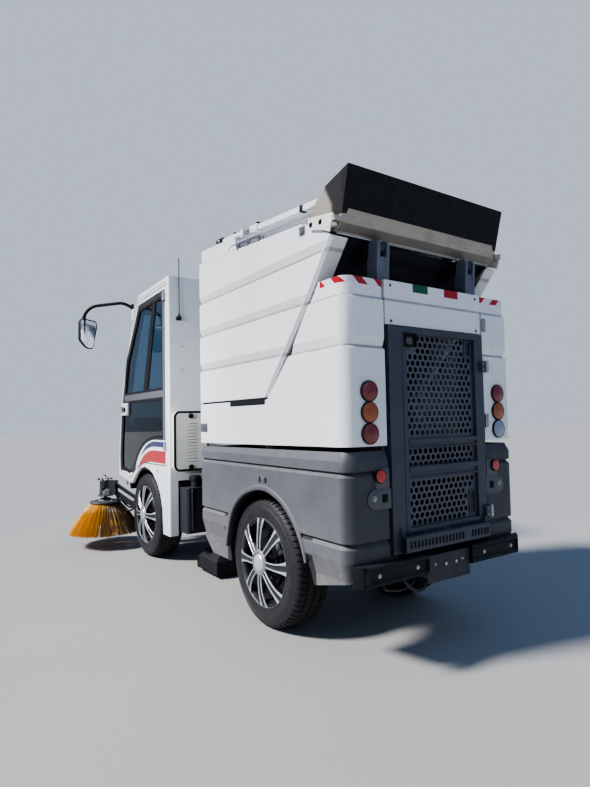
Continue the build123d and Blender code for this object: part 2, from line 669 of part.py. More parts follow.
with BuildPart() as suction_duct:
    with BuildLine(side(0)) as way:
        FilletPolyline((1640, 190), (1640, 700), (1215, 940), (1215, 1106), radius=130)
    with BuildSketch(top(190)):
        with Locations((1640, 0)):
            Circle(90)
            Circle(79, mode=Mode.SUBTRACT)
    sweep(path=way.line)
write(suction_duct, "suction_duct")

# =====================================================================
# side brushes
# =====================================================================
ROOT = (2835, 395, 300)         # lower link, chassis end
HEAD = (2975, 545, 430)         # lower link, holder end
UX, UY = 140 / 205.18, 150 / 205.18
AXIS = (-UY, UX, 0)


def link(p, q, r, w):
    """flat bar between two pin axes across the link's plane"""
    p = Vector(XR + p[0], p[1], p[2])
    q = Vector(XR + q[0], q[1], q[2])
    d = q - p
    with BuildSketch(Plane(origin=p, x_dir=d.normalized(), z_dir=AXIS)) as face:
        with Locations((d.length / 2, 0)):
            SlotCenterToCenter(d.length, 2 * r)
        with Locations((0, 0), (d.length, 0)):
            Circle(8 + FIT, mode=Mode.SUBTRACT)
    extrude(face.sketch, amount=w, both=True)


def pin(p, r, w, mode=Mode.ADD):
    """pin along the links' axis"""
    with BuildSketch(Plane(origin=(XR + p[0], p[1], p[2]), x_dir=(UX, UY, 0), z_dir=AXIS)) as face:
        Circle(r)
    extrude(face.sketch, amount=w, both=True, mode=mode)


with BuildPart() as left_brush_arm:
    link(ROOT, HEAD, 17, 14)
write(left_brush_arm, "left_brush_arm")
with BuildPart() as left_brush_stay:
    link((ROOT[0], ROOT[1], ROOT[2] + 70), (HEAD[0], HEAD[1], HEAD[2] + 70), 13, 10)
write(left_brush_stay, "left_brush_stay")


def cheek(p, z0, z1, y0, y1, u0, u1):
    """plate beside the links, from u0 to u1 along them and y0 to y1 across them"""
    with BuildSketch(Plane(origin=(XR + p[0], p[1], z0), x_dir=(UX, UY, 0), z_dir=(0, 0, 1))) as face:
        with Locations(((u0 + u1) / 2, (y0 + y1) / 2)):
            Rectangle(u1 - u0, y1 - y0)
    extrude(face.sketch, amount=z1 - z0)


with BuildPart() as left_brush_holder:
    for y0, y1 in ((20, 28), (-28, -20)):
        cheek(HEAD, 408, 522, y0, y1, -20, 40)
    cheek(HEAD, 440, 500, -28, 28, 34, 44)
    pin(HEAD, 8, 24)
    pin((HEAD[0], HEAD[1], HEAD[2] + 70), 8, 24)
    rod_z(BRUSH_X, BRUSH_Y, 46, 400, 520)
    rod_z(BRUSH_X, BRUSH_Y, 14, 366, 405)
write(left_brush_holder, "left_brush_holder")

with BuildPart() as left_brush_root:
    for y0, y1 in ((20, 28), (-28, -20)):
        cheek(ROOT, 278, 392, y0, y1, -40, 20)
    cheek(ROOT, 278, 392, -28, 28, -50, -40)
    box((2800, 2870), (336, 352), (280, 320))
    pin(ROOT, 8, 24)
    pin((ROOT[0], ROOT[1], ROOT[2] + 70), 8, 24)
    mirror(about=Plane.XZ)
write(left_brush_root, "brush_brackets")

with BuildPart() as left_brush:
    with BuildSketch(Plane(origin=(XR + BRUSH_X, BRUSH_Y, 0), x_dir=(1, 0, 0), z_dir=(0, -1, 0))):
        with BuildLine():
            Polyline((14 + FIT, 368), (122, 368), (122, BRUSH_TOP), (118, BRUSH_TOP), (BRUSH_R, BRUSH_LOW),
                     (225, BRUSH_LOW), (66, BRUSH_TOP), (14 + FIT, BRUSH_TOP), close=True)
        make_face()
    revolve(axis=Axis((XR + BRUSH_X, BRUSH_Y, 0), (0, 0, 1)))
write(left_brush, "left_brush")

for left, name in ((left_brush_arm, "right_brush_arm"), (left_brush_stay, "right_brush_stay"),
                   (left_brush_holder, "right_brush_holder"), (left_brush, "right_brush")):
    with BuildPart() as right:
        mirror(left.part, about=Plane.XZ)
    write(right, name)
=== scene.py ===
import json
import math
import random

import bmesh
import bpy
from mathutils import Matrix, Vector

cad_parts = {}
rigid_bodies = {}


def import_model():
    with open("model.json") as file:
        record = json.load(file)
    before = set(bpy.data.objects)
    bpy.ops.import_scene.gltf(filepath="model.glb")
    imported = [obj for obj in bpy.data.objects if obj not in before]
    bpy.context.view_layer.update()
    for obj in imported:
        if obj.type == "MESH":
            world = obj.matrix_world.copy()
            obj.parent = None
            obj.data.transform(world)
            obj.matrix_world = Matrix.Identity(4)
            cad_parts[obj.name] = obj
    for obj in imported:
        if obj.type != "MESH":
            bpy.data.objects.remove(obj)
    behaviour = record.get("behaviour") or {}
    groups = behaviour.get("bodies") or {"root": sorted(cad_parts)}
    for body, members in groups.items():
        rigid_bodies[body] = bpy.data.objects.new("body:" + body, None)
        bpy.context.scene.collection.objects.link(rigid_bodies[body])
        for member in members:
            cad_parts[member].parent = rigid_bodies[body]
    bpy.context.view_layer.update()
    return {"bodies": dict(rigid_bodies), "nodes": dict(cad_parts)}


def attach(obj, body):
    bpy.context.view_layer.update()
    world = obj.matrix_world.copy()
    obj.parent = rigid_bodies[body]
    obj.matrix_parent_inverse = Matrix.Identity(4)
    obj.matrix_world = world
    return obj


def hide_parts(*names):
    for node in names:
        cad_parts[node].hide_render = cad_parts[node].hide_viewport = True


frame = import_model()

NODES = frame["nodes"]
scene = bpy.context.scene
rnd = random.Random(7)
XR = -1.6375                    # rear face of the body
R_TYRE = 307.5
WHEELS = [("front_left", 2440, 470, 1), ("front_right", 2440, 470, -1),
          ("rear_left", 696, 493, 1), ("rear_right", 696, 493, -1)]


def P(x, y, z):
    """millimetres, x from the rear face, to the row frame"""
    return Vector((x / 1000 + XR, y / 1000, z / 1000))


# =====================================================================
# camera
# =====================================================================
cam = bpy.data.objects.new("camera", bpy.data.cameras.new("camera"))
scene.collection.objects.link(cam)
cam.data.lens, cam.data.sensor_width, cam.data.sensor_fit = 24.964, 36.0, "AUTO"
cam.data.clip_start, cam.data.clip_end = 0.05, 200
R = Vector((-0.56166769, -0.82714652, -0.01892194))
U = Vector((-0.05081132, 0.01165799, 0.99864023))
D = Vector((0.82580119, -0.5618654, 0.04857632))
cam.matrix_world = Matrix(((R.x, U.x, -D.x, -3.24388562), (R.y, U.y, -D.y, 1.8463528),
                           (R.z, U.z, -D.z, 0.98905106), (0, 0, 0, 1)))
scene.camera = cam


# =====================================================================
# materials
# =====================================================================
class Mat:
    """node material around one shader; positions are the row frame's, in metres"""

    def __init__(self, name):
        self.m = bpy.data.materials.new(name)
        self.m.use_nodes = True
        self.t = self.m.node_tree
        self.t.nodes.clear()
        self.b = self.t.nodes.new("ShaderNodeBsdfPrincipled")
        out = self.t.nodes.new("ShaderNodeOutputMaterial")
        self.t.links.new(self.b.outputs[0], out.inputs[0])
        tc = self.t.nodes.new("ShaderNodeTexCoord")
        self.o = tc.outputs["Object"]
        sep = self.n("ShaderNodeSeparateXYZ", {0: self.o})
        self.x, self.y, self.z = sep.outputs
        self.ay = self.f("ABSOLUTE", self.y)

    def n(self, kind, ins=None, **props):
        node = self.t.nodes.new(kind)
        for k, v in props.items():
            setattr(node, k, v)
        for k, v in (ins or {}).items():
            self.put(node.inputs[k], v)
        return node

    def put(self, sock, v):
        if isinstance(v, bpy.types.NodeSocket):
            self.t.links.new(v, sock)
        elif isinstance(v, (tuple, list)) and len(v) == 3 and sock.type == "RGBA":
            sock.default_value = (*v, 1)
        else:
            sock.default_value = v

    def f(self, op, a, b=0.0, c=0.0, clamp=False):
        node = self.n("ShaderNodeMath", {0: a, 1: b, 2: c}, operation=op)
        node.use_clamp = clamp
        return node.outputs[0]

    def xr(self):
        """metres from the rear face"""
        return self.f("SUBTRACT", self.x, XR)

    def scaled(self, sx, sy, sz):
        return self.n("ShaderNodeMapping", {"Vector": self.o, "Scale": (sx, sy, sz)}).outputs[0]

    def noise(self, scale, detail=4.0, rough=0.55, dist=0.0, vec=None, lo=0.32, hi=0.68):
        node = self.n("ShaderNodeTexNoise", {"Vector": vec or self.o, "Scale": scale, "Detail": detail,
                                             "Roughness": rough, "Distortion": dist})
        return self.range(node.outputs[0], lo, hi)

    def cells(self, scale, vec=None, feature="F1", out=0):
        return self.n("ShaderNodeTexVoronoi", {"Vector": vec or self.o, "Scale": scale}, feature=feature).outputs[out]

    def range(self, v, lo, hi, a=0.0, b=1.0, smooth=False):
        node = self.n("ShaderNodeMapRange", {0: v, 1: lo, 2: hi, 3: a, 4: b})
        node.interpolation_type = "SMOOTHSTEP" if smooth else "LINEAR"
        node.clamp = True
        return node.outputs[0]

    def above(self, v, edge, soft=0.0006):
        return self.range(v, edge - soft, edge + soft)

    def band(self, v, lo, hi, soft=0.0006):
        return self.f("MULTIPLY", self.above(v, lo, soft), self.range(v, hi - soft, hi + soft, 1, 0))

    def both(self, *masks):
        m = masks[0]
        for k in masks[1:]:
            m = self.f("MULTIPLY", m, k)
        return m

    def either(self, *masks):
        m = masks[0]
        for k in masks[1:]:
            m = self.f("MAXIMUM", m, k)
        return m

    def mix(self, fac, a, b):
        node = self.t.nodes.new("ShaderNodeMix")
        node.data_type = "RGBA"
        self.put(node.inputs[0], fac)
        self.put(node.inputs[6], a)
        self.put(node.inputs[7], b)
        return node.outputs[2]

    def mixf(self, fac, a, b):
        node = self.t.nodes.new("ShaderNodeMix")
        node.data_type = "FLOAT"
        self.put(node.inputs[0], fac)
        self.put(node.inputs[2], a)
        self.put(node.inputs[3], b)
        return node.outputs[0]

    def bump(self, height, dist, strength=1.0, normal=None):
        ins = {"Height": height, "Distance": dist, "Strength": strength}
        if normal is not None:
            ins["Normal"] = normal
        return self.n("ShaderNodeBump", ins).outputs[0]

    def up(self):
        """how far a surface faces upwards"""
        g = self.n("ShaderNodeNewGeometry")
        s = self.n("ShaderNodeSeparateXYZ", {0: g.outputs["Normal"]})
        return self.f("MAXIMUM", s.outputs[2], 0.0)

    def edges(self, radius=0.004, lo=0.02, hi=0.16):
        """mask of the outer edges"""
        g = self.n("ShaderNodeNewGeometry")
        bev = self.n("ShaderNodeBevel", {"Radius": radius})
        bev.samples = 3
        dot = self.n("ShaderNodeVectorMath", {0: bev.outputs[0], 1: g.outputs["Normal"]}, operation="DOT_PRODUCT")
        return self.range(self.f("SUBTRACT", 1.0, dot.outputs["Value"]), lo, hi)

    def set(self, **ins):
        for k, v in ins.items():
            self.put(self.b.inputs[k.replace("_", " ")], v)
        return self


def gloss_white(name, tint=(0.80, 0.81, 0.825), tint2=(0.73, 0.74, 0.76)):
    """gloss white gelcoat with faint orange peel, dust on what faces up and grime towards the bottom"""
    m = Mat(name)
    big = m.noise(2.3, 3)
    base = m.mix(m.f("MULTIPLY", big, 0.7), tint, tint2)
    streak = m.noise(1.0, 5, 0.6, vec=m.scaled(26, 26, 1.6), lo=0.46, hi=0.72)
    base = m.mix(m.f("MULTIPLY", streak, 0.10), base, (0.56, 0.56, 0.54))
    dust = m.both(m.range(m.up(), 0.35, 0.95), m.noise(9, 6, 0.7, lo=0.35, hi=0.75))
    base = m.mix(m.f("MULTIPLY", dust, 0.42), base, (0.50, 0.48, 0.43))
    low = m.both(m.range(m.z, 0.95, 0.30), m.noise(7, 6, 0.7, lo=0.40, hi=0.8))
    base = m.mix(m.f("MULTIPLY", low, 0.30), base, (0.47, 0.46, 0.42))
    rough = m.mixf(dust, m.range(m.noise(5, 4), 0, 1, 0.20, 0.30), 0.6)
    m.base = base
    m.rough = rough
    peel = m.bump(m.n("ShaderNodeTexNoise", {"Vector": m.o, "Scale": 240, "Detail": 2}).outputs[0], 0.00035, 0.35)
    wave = m.bump(m.n("ShaderNodeTexNoise", {"Vector": m.o, "Scale": 3.2, "Detail": 1}).outputs[0], 0.006, 0.10, peel)
    m.set(Base_Color=base, Roughness=rough, Coat_Weight=0.35, Coat_Roughness=0.10, Normal=wave)
    return m


RED, BLUE, GREEN, LABEL = (0.34, 0.004, 0.008), (0.010, 0.012, 0.085), (0.004, 0.090, 0.042), (0.72, 0.73, 0.75)

white = gloss_white("white_paint")


def cover_white():
    """the covers' white with the hazard bands round both rear corners and two plain patches above the door"""
    m = gloss_white("white_covers")
    xr = m.xr()
    dx = m.f("SUBTRACT", 0.060, xr)
    dy = m.f("SUBTRACT", m.ay, 0.464)
    ang = m.f("ARCTAN2", m.f("MAXIMUM", dx, 0.0), m.f("MAXIMUM", dy, 0.00001))
    s = m.f("ADD", m.f("ADD", m.f("MINIMUM", dx, 0.0), m.f("MULTIPLY", ang, 0.0505)),
            m.f("MAXIMUM", m.f("MULTIPLY", dy, -1.0), 0.0))
    u = m.f("SUBTRACT", s, m.f("MULTIPLY", m.f("SUBTRACT", 1.557, m.z), 1.05))
    cyc = m.f("FRACT", m.f("ADD", m.f("DIVIDE", m.f("ADD", u, 0.035), 0.109), 4.0))
    bars = m.band(cyc, 0.004, 0.45, 0.006)
    zone = m.both(m.band(m.z, 1.524, 1.5585), m.range(xr, 0.1575, 0.1585, 1, 0), m.above(m.ay, 0.3105))
    flecks = m.cells(900, out=1)
    tone = m.n("ShaderNodeSeparateXYZ", {0: flecks}).outputs[0]
    red = m.mix(m.f("MULTIPLY", tone, 0.35), RED, (0.60, 0.05, 0.05))
    base = m.mix(zone, m.base, m.mix(m.f("MULTIPLY", tone, 0.2), LABEL, (0.62, 0.64, 0.68)))
    base = m.mix(m.both(zone, bars), base, red)
    patch = m.both(m.band(m.z, 1.5205, 1.5590), m.range(xr, 0.0245, 0.026, 1, 0), m.range(m.ay, 0.30, 0.301, 1, 0))
    base = m.mix(m.both(patch, m.band(m.y, 0.046, 0.139)), base, GREEN)
    base = m.mix(m.both(patch, m.band(m.y, -0.150, -0.058)), base, RED)
    # painted shade in the grooves, broken up by noise; the grime towards the lower edge comes from gloss_white
    groove = m.either(m.band(m.z, 1.2700, 1.281, 0.003), m.band(m.z, 1.469, 1.4795, 0.002))
    base = m.mix(m.f("MULTIPLY", m.both(groove, m.noise(24, 4, lo=0.0, hi=0.5)), 0.8), base, (0.25, 0.25, 0.255))
    m.set(Base_Color=base)
    return m


covers_white = cover_white()


def panel_white():
    """the side panels' white, with painted shade greying the chamfered steps and the slanted return"""
    m = gloss_white("white_panels")
    base = m.base
    # painted shade: the downward-facing chamfer of each step, broken up by noise
    for z in (1.696, 1.503, 1.305):
        step = m.both(m.band(m.z, z - 0.030, z - 0.016, 0.003), m.range(m.ay, 0.5225, 0.5205))
        base = m.mix(m.f("MULTIPLY", m.both(step, m.noise(20, 4, lo=0.0, hi=0.5)), 0.85), base, (0.27, 0.27, 0.275))
    # painted shade on the slanted return, which faces rearwards
    edge = m.both(m.range(m.ay, 0.5222, 0.5210), m.range(m.z, 1.095, 1.72, 1.0, 1.0))
    base = m.mix(m.f("MULTIPLY", edge, 0.22), base, (0.42, 0.42, 0.40))
    m.set(Base_Color=base)
    return m


panels_white = panel_white()


def ellipse(m, xr, xc, zc, a, b):
    """inside of an arch line: flat before xc, an ellipse after it"""
    dx = m.f("MAXIMUM", m.f("DIVIDE", m.f("SUBTRACT", xr, xc), a), 0.0)
    dz = m.f("DIVIDE", m.f("MAXIMUM", m.f("SUBTRACT", m.z, zc), 0.0), b)
    d = m.f("SQRT", m.f("ADD", m.f("MULTIPLY", dx, dx), m.f("MULTIPLY", dz, dz)))
    return m.range(d, 0.997, 1.003, 1, 0)


def cab_white():
    """cab white with the arch stripes on the doors"""
    m = gloss_white("white_cab")
    xr = m.xr()
    out = ellipse(m, xr, 2.122, 0.55, 0.458, 0.318)
    blue_t = ellipse(m, xr, 2.137, 0.55, 0.3916, 0.307)
    blue_b = ellipse(m, xr, 2.137, 0.55, 0.4195, 0.270)
    red_t = ellipse(m, xr, 2.156, 0.50, 0.4055, 0.294)
    red_b = ellipse(m, xr, 2.193, 0.50, 0.4065, 0.210)
    door = m.both(m.above(xr, 1.9365), m.range(xr, 2.66, 2.664, 1, 0), m.above(m.ay, 0.4975))
    lower = m.range(m.z, 0.90, 0.903, 1, 0)
    base = m.base
    base = m.mix(m.both(door, lower, blue_t, m.f("SUBTRACT", 1.0, m.f("MULTIPLY", blue_b, blue_t))), base, BLUE)
    base = m.mix(m.both(door, lower, red_t, m.f("SUBTRACT", 1.0, red_b)), base, (0.37, 0.001, 0.010))
    m.set(Base_Color=base)
    m.xr_, m.out_ = xr, out
    return m


cab_paint = cab_white()


def door_finish():
    """door: white stripes panel over the arch, grey mid rail and rear stile, black rubber round the panes"""
    m = cab_white()
    m.m.name = "door_finish"
    xr, out = m.xr_, m.out_
    panel = m.both(out, m.range(m.z, 0.90, 0.903, 1, 0), m.range(xr, 2.62, 2.624, 1, 0))
    sill = m.both(m.above(xr, 2.60), m.range(m.z, 0.603, 0.606, 1, 0))
    keep = m.either(panel, sill)
    rail = m.band(m.z, 1.1645, 1.2115)
    stile = m.range(xr, 1.9765, 1.9775, 1, 0)
    grey = m.either(m.both(rail, m.range(xr, 2.832, 2.836, 1, 0)), stile)
    scuff = m.noise(30, 6, 0.7)
    dark = m.mix(scuff, (0.005, 0.0055, 0.007), (0.010, 0.011, 0.013))
    dark = m.mix(grey, dark, m.mix(scuff, (0.085, 0.09, 0.105), (0.12, 0.125, 0.14)))
    stone = m.b.inputs["Base Color"].links[0].from_socket
    m.set(Base_Color=m.mix(keep, dark, stone), Roughness=m.mixf(keep, m.mixf(grey, 0.80, 0.44), m.rough))
    return m


door_paint = door_finish()


def plastic(name, a, b, rough, grain=0.0004, scale=700, dust=0.3, dusty=(0.24, 0.225, 0.19), wear=None, coat=0.0,
            spec=0.5):
    """moulded or powder-coated surface with fine grain, dust on what faces up and scuffed edges"""
    m = Mat(name)
    base = m.mix(m.noise(6, 5, 0.65), a, b)
    spots = m.noise(60, 4, 0.7, lo=0.5, hi=0.8)
    base = m.mix(m.f("MULTIPLY", spots, 0.25), base, tuple(min(1, c * 1.5) for c in b))
    d = m.both(m.range(m.up(), 0.2, 0.95), m.noise(11, 6, 0.72, lo=0.33, hi=0.72))
    base = m.mix(m.f("MULTIPLY", d, dust), base, dusty)
    r = m.mixf(m.noise(14, 5), rough - 0.06, rough + 0.08)
    if wear:
        e = m.both(m.edges(), m.noise(55, 5, 0.7, lo=0.42, hi=0.66))
        base = m.mix(m.f("MULTIPLY", e, 0.8), base, wear)
    n = m.bump(m.n("ShaderNodeTexNoise", {"Vector": m.o, "Scale": scale, "Detail": 3}).outputs[0], grain, 0.5)
    m.base, m.rough, m.normal = base, r, n
    m.set(Base_Color=base, Roughness=m.mixf(m.f("MULTIPLY", d, dust), r, 0.8), Normal=n)
    m.set(Specular_IOR_Level=spec)
    if coat:
        m.set(Coat_Weight=coat, Coat_Roughness=0.15)
    return m


def skirt_finish():
    """grained mid-grey plastic, dusty along the bottom, chalky on the top chamfer; painted shade blackens the faces
    behind the skin, the arch and the slots, and darkens the rear face
    """
    m = plastic("skirt_plastic", (0.088, 0.093, 0.107), (0.112, 0.117, 0.132), 0.50, 0.0005, 850, 0.45,
                (0.30, 0.29, 0.26), wear=(0.26, 0.27, 0.29))
    low = m.both(m.range(m.z, 0.62, 0.30), m.noise(5, 7, 0.75, lo=0.30, hi=0.72))
    base = m.mix(m.f("MULTIPLY", low, 0.55), m.b.inputs["Base Color"].links[0].from_socket, (0.30, 0.285, 0.25))
    splash = m.both(m.range(m.z, 0.48, 0.30), m.noise(46, 3, 0.6, lo=0.60, hi=0.70))
    base = m.mix(m.f("MULTIPLY", splash, 0.6), base, (0.38, 0.36, 0.31))
    # painted shade: the faces behind the skin, in the wheel housings, near black
    inner = m.range(m.ay, 0.4925, 0.4935, 1, 0)
    base = m.mix(m.both(inner, m.above(m.xr(), 0.06)), base, (0.010, 0.011, 0.015))
    # painted shade: the arch's inner faces and the two slots, near black
    arch = m.both(m.range(m.ay, 0.5205, 0.5220, 1, 0), m.above(m.xr(), 0.240), m.range(m.xr(), 1.030, 1.035, 1, 0),
                  m.range(m.z, 0.690, 0.694, 1, 0))
    slot_shade = m.either(m.band(m.z, 0.5015, 0.5125, 0.001), m.band(m.z, 0.7755, 0.7845, 0.001))
    slot_shade = m.both(slot_shade, m.range(m.ay, 0.5150, 0.5160, 1, 0))
    base = m.mix(m.f("MULTIPLY", m.either(arch, slot_shade), 0.92), base, (0.008, 0.008, 0.011))
    # painted shade: the rear-facing skirt darker than the sides
    rear_shade = m.range(m.xr(), 0.022, 0.055, 1, 0)
    base = m.mix(m.f("MULTIPLY", rear_shade, 0.62), base, (0.016, 0.018, 0.026))
    m.set(Base_Color=base)
    return m


skirt = skirt_finish()
door_grey = plastic("door_grey", (0.044, 0.050, 0.069), (0.057, 0.063, 0.083), 0.46, 0.0003, 900, 0.35,
                    (0.20, 0.19, 0.17), wear=(0.17, 0.175, 0.19))
mesh_grey = plastic("grille_grey", (0.078, 0.083, 0.106), (0.098, 0.103, 0.127), 0.44, 0.0003, 900, 0.35,
                    (0.20, 0.19, 0.17))
frame_black = plastic("frame_paint", (0.020, 0.021, 0.024), (0.034, 0.035, 0.038), 0.48, 0.0006, 300, 0.6,
                      (0.16, 0.145, 0.12), wear=(0.16, 0.15, 0.14))
steel_grey = plastic("link_grey", (0.022, 0.024, 0.031), (0.043, 0.046, 0.055), 0.42, 0.0005, 300, 0.5,
                     (0.22, 0.20, 0.17), wear=(0.34, 0.34, 0.34))
post_grey = plastic("post_grey", (0.090, 0.100, 0.135), (0.130, 0.142, 0.180), 0.46, 0.0004, 500, 0.2,
                    (0.33, 0.31, 0.27), wear=(0.42, 0.42, 0.42))
plate_grey = plastic("plate_grey", (0.075, 0.080, 0.092), (0.105, 0.110, 0.122), 0.45, 0.0004, 500, 0.3,
                     (0.22, 0.21, 0.19), wear=(0.25, 0.25, 0.26))
pale_grey = plastic("pale_grey", (0.78, 0.795, 0.80), (0.83, 0.84, 0.84), 0.50, 0.0009, 420, 0.25,
                    (0.42, 0.41, 0.37))
cream = plastic("cream_plastic", (0.74, 0.735, 0.65), (0.80, 0.79, 0.70), 0.55, 0.0006, 500, 0.3, (0.40, 0.38, 0.32))
black = plastic("black_plastic", (0.006, 0.007, 0.009), (0.012, 0.013, 0.016), 0.52, 0.0005, 600, 0.25,
                (0.12, 0.11, 0.10), spec=0.22)
rubber = plastic("rubber", (0.008, 0.008, 0.010), (0.016, 0.016, 0.018), 0.66, 0.0004, 900, 0.25, (0.10, 0.095, 0.09),
                 spec=0.22)
nozzle_black = plastic("nozzle_black", (0.008, 0.009, 0.012), (0.016, 0.017, 0.021), 0.66, 0.0006, 400, 0.05,
                       (0.06, 0.055, 0.05), spec=0.25)
bracket_dark = plastic("bracket_grey", (0.024, 0.026, 0.036), (0.037, 0.039, 0.050), 0.46, 0.0004, 500, 0.2,
                       (0.12, 0.11, 0.10), wear=(0.14, 0.14, 0.15))
mint_paint = plastic("mount_paint", (0.40, 0.46, 0.42), (0.47, 0.53, 0.48), 0.45, 0.0005, 500, 0.3,
                     (0.30, 0.28, 0.24), wear=(0.24, 0.24, 0.24))
red_cap = plastic("red_cap", (0.42, 0.045, 0.060), (0.52, 0.080, 0.095), 0.42, 0.0004, 600, 0.2, (0.30, 0.22, 0.20))
hose_black = plastic("black_hose", (0.013, 0.013, 0.014), (0.028, 0.027, 0.026), 0.50, 0.0004, 900, 0.5,
                     (0.16, 0.15, 0.13))
latch_grey = plastic("latch_grey", (0.070, 0.072, 0.078), (0.100, 0.102, 0.108), 0.45, 0.0004, 700, 0.2)
light_box = plastic("light_plastic", (0.55, 0.56, 0.57), (0.62, 0.63, 0.64), 0.45, 0.0004, 700, 0.2, (0.4, 0.39, 0.36))
interior = plastic("interior_grey", (0.055, 0.058, 0.065), (0.075, 0.078, 0.085), 0.62, 0.0008, 500, 0.15)


def tank_finish():
    m = plastic("tank_black", (0.010, 0.011, 0.016), (0.020, 0.021, 0.028), 0.36, 0.0005, 500, 0.4, (0.12, 0.11, 0.10))
    return m


tank_black = tank_finish()


def tub_finish():
    """hopper tub: light grey flanks; painted shade makes its sloping rear face and mouth almost black"""
    m = plastic("tub_grey", (0.40, 0.41, 0.42), (0.46, 0.47, 0.48), 0.5, 0.0009, 420, 0.3, (0.36, 0.35, 0.31))
    # painted shade on the sloping rear face and the mouth
    rear = m.both(m.range(m.ay, 0.500, 0.5012, 1, 0), m.range(m.xr(), 1.290, 1.296, 1, 0))
    dark = m.mix(m.noise(7, 5, 0.65), (0.018, 0.020, 0.028), (0.034, 0.037, 0.048))
    m.set(Base_Color=m.mix(rear, m.b.inputs["Base Color"].links[0].from_socket, dark))
    return m


tub_grey = tub_finish()


def bumper_finish():
    """black beam (the plate bracket between the halves is dark grey in its own material)"""
    m = plastic("bumper", (0.009, 0.010, 0.013), (0.018, 0.019, 0.024), 0.48, 0.0006, 500, 0.3, (0.12, 0.11, 0.10),
                wear=(0.12, 0.12, 0.12), spec=0.25)
    return m


bumper_black = bumper_finish()


def rubber_tyre():
    """dusty tyre rubber; the tread is browner and duller than the sidewall"""
    m = Mat("tyre")
    side_c = m.mix(m.noise(9, 6, 0.65), (0.007, 0.0072, 0.010), (0.016, 0.016, 0.020))
    dz = m.f("SUBTRACT", m.z, 0.3075)
    r = []
    for _, xw, _, _ in WHEELS[::2]:
        dx = m.f("SUBTRACT", m.xr(), xw / 1000)
        r.append(m.f("SQRT", m.f("ADD", m.f("MULTIPLY", dx, dx), m.f("MULTIPLY", dz, dz))))
    rad = m.f("MINIMUM", r[0], r[1])
    tread = m.range(rad, 0.292, 0.304, smooth=True)
    dusty = m.mix(m.noise(35, 6, 0.7), (0.012, 0.0118, 0.0135), (0.030, 0.029, 0.030))
    base = m.mix(tread, side_c, dusty)
    haze = m.both(m.band(rad, 0.222, 0.290, 0.012), m.noise(16, 6, 0.7, lo=0.35, hi=0.75))
    base = m.mix(m.f("MULTIPLY", haze, 0.38), base, (0.042, 0.041, 0.046))
    m.set(Base_Color=base, Roughness=m.mixf(tread, m.range(m.noise(12, 4), 0, 1, 0.46, 0.62), 0.85),
          Normal=m.bump(m.n("ShaderNodeTexNoise", {"Vector": m.o, "Scale": 520, "Detail": 4}).outputs[0], 0.0006, 0.5))
    return m


tyre_rubber = rubber_tyre()


def metal(name, a, b, rough, scale=(1, 1, 1), amount=0.5, metallic=1.0, bump=0.0003, fine=180):
    """metal with a brushed grain drawn out along the axis whose scale is small"""
    m = Mat(name)
    grain = m.noise(fine, 4, 0.6, vec=m.scaled(*scale), lo=0.3, hi=0.7)
    base = m.mix(m.f("MULTIPLY", grain, amount), a, b)
    smudge = m.noise(5, 6, 0.7)
    m.base = m.mix(m.f("MULTIPLY", smudge, 0.35), base, tuple(c * 0.7 for c in b))
    m.rough = m.f("ADD", m.mixf(smudge, rough - 0.06, rough + 0.10), m.f("MULTIPLY", grain, 0.06))
    m.set(Base_Color=m.base, Metallic=metallic, Roughness=m.rough, Normal=m.bump(grain, bump, 0.4))
    return m


chrome = metal("rod_steel", (0.62, 0.63, 0.65), (0.50, 0.51, 0.53), 0.20)
zinc = metal("zinc", (0.46, 0.47, 0.48), (0.34, 0.35, 0.36), 0.38, amount=0.8)
silver = metal("silver_paint", (0.70, 0.71, 0.73), (0.63, 0.64, 0.66), 0.28, amount=0.3, metallic=0.55, bump=0.0001)
silver.set(Coat_Weight=0.5, Coat_Roughness=0.08)
silver_dark = metal("silver_grey", (0.20, 0.205, 0.22), (0.26, 0.265, 0.28), 0.34, amount=0.3, metallic=0.7, bump=0.0001)
channel_grey = metal("channel_grey", (0.030, 0.032, 0.038), (0.055, 0.058, 0.066), 0.45, amount=0.4, metallic=0.4,
                     bump=0.0002)
cap_grey = metal("cap_grey", (0.27, 0.275, 0.29), (0.20, 0.205, 0.22), 0.42, amount=0.3, metallic=0.45, bump=0.0001)


def cast(name="cast_iron"):
    m = Mat(name)
    base = m.mix(m.noise(16, 6, 0.7), (0.030, 0.030, 0.032), (0.065, 0.062, 0.060))
    rust = m.both(m.noise(22, 7, 0.75, lo=0.52, hi=0.70), m.noise(3.5, 3, lo=0.35, hi=0.65))
    base = m.mix(m.f("MULTIPLY", rust, 0.7), base, (0.13, 0.052, 0.022))
    m.set(Base_Color=base, Roughness=m.mixf(rust, 0.55, 0.9), Metallic=0.3,
          Normal=m.bump(m.n("ShaderNodeTexNoise", {"Vector": m.o, "Scale": 160, "Detail": 5}).outputs[0], 0.0015, 0.6))
    return m


iron = cast()


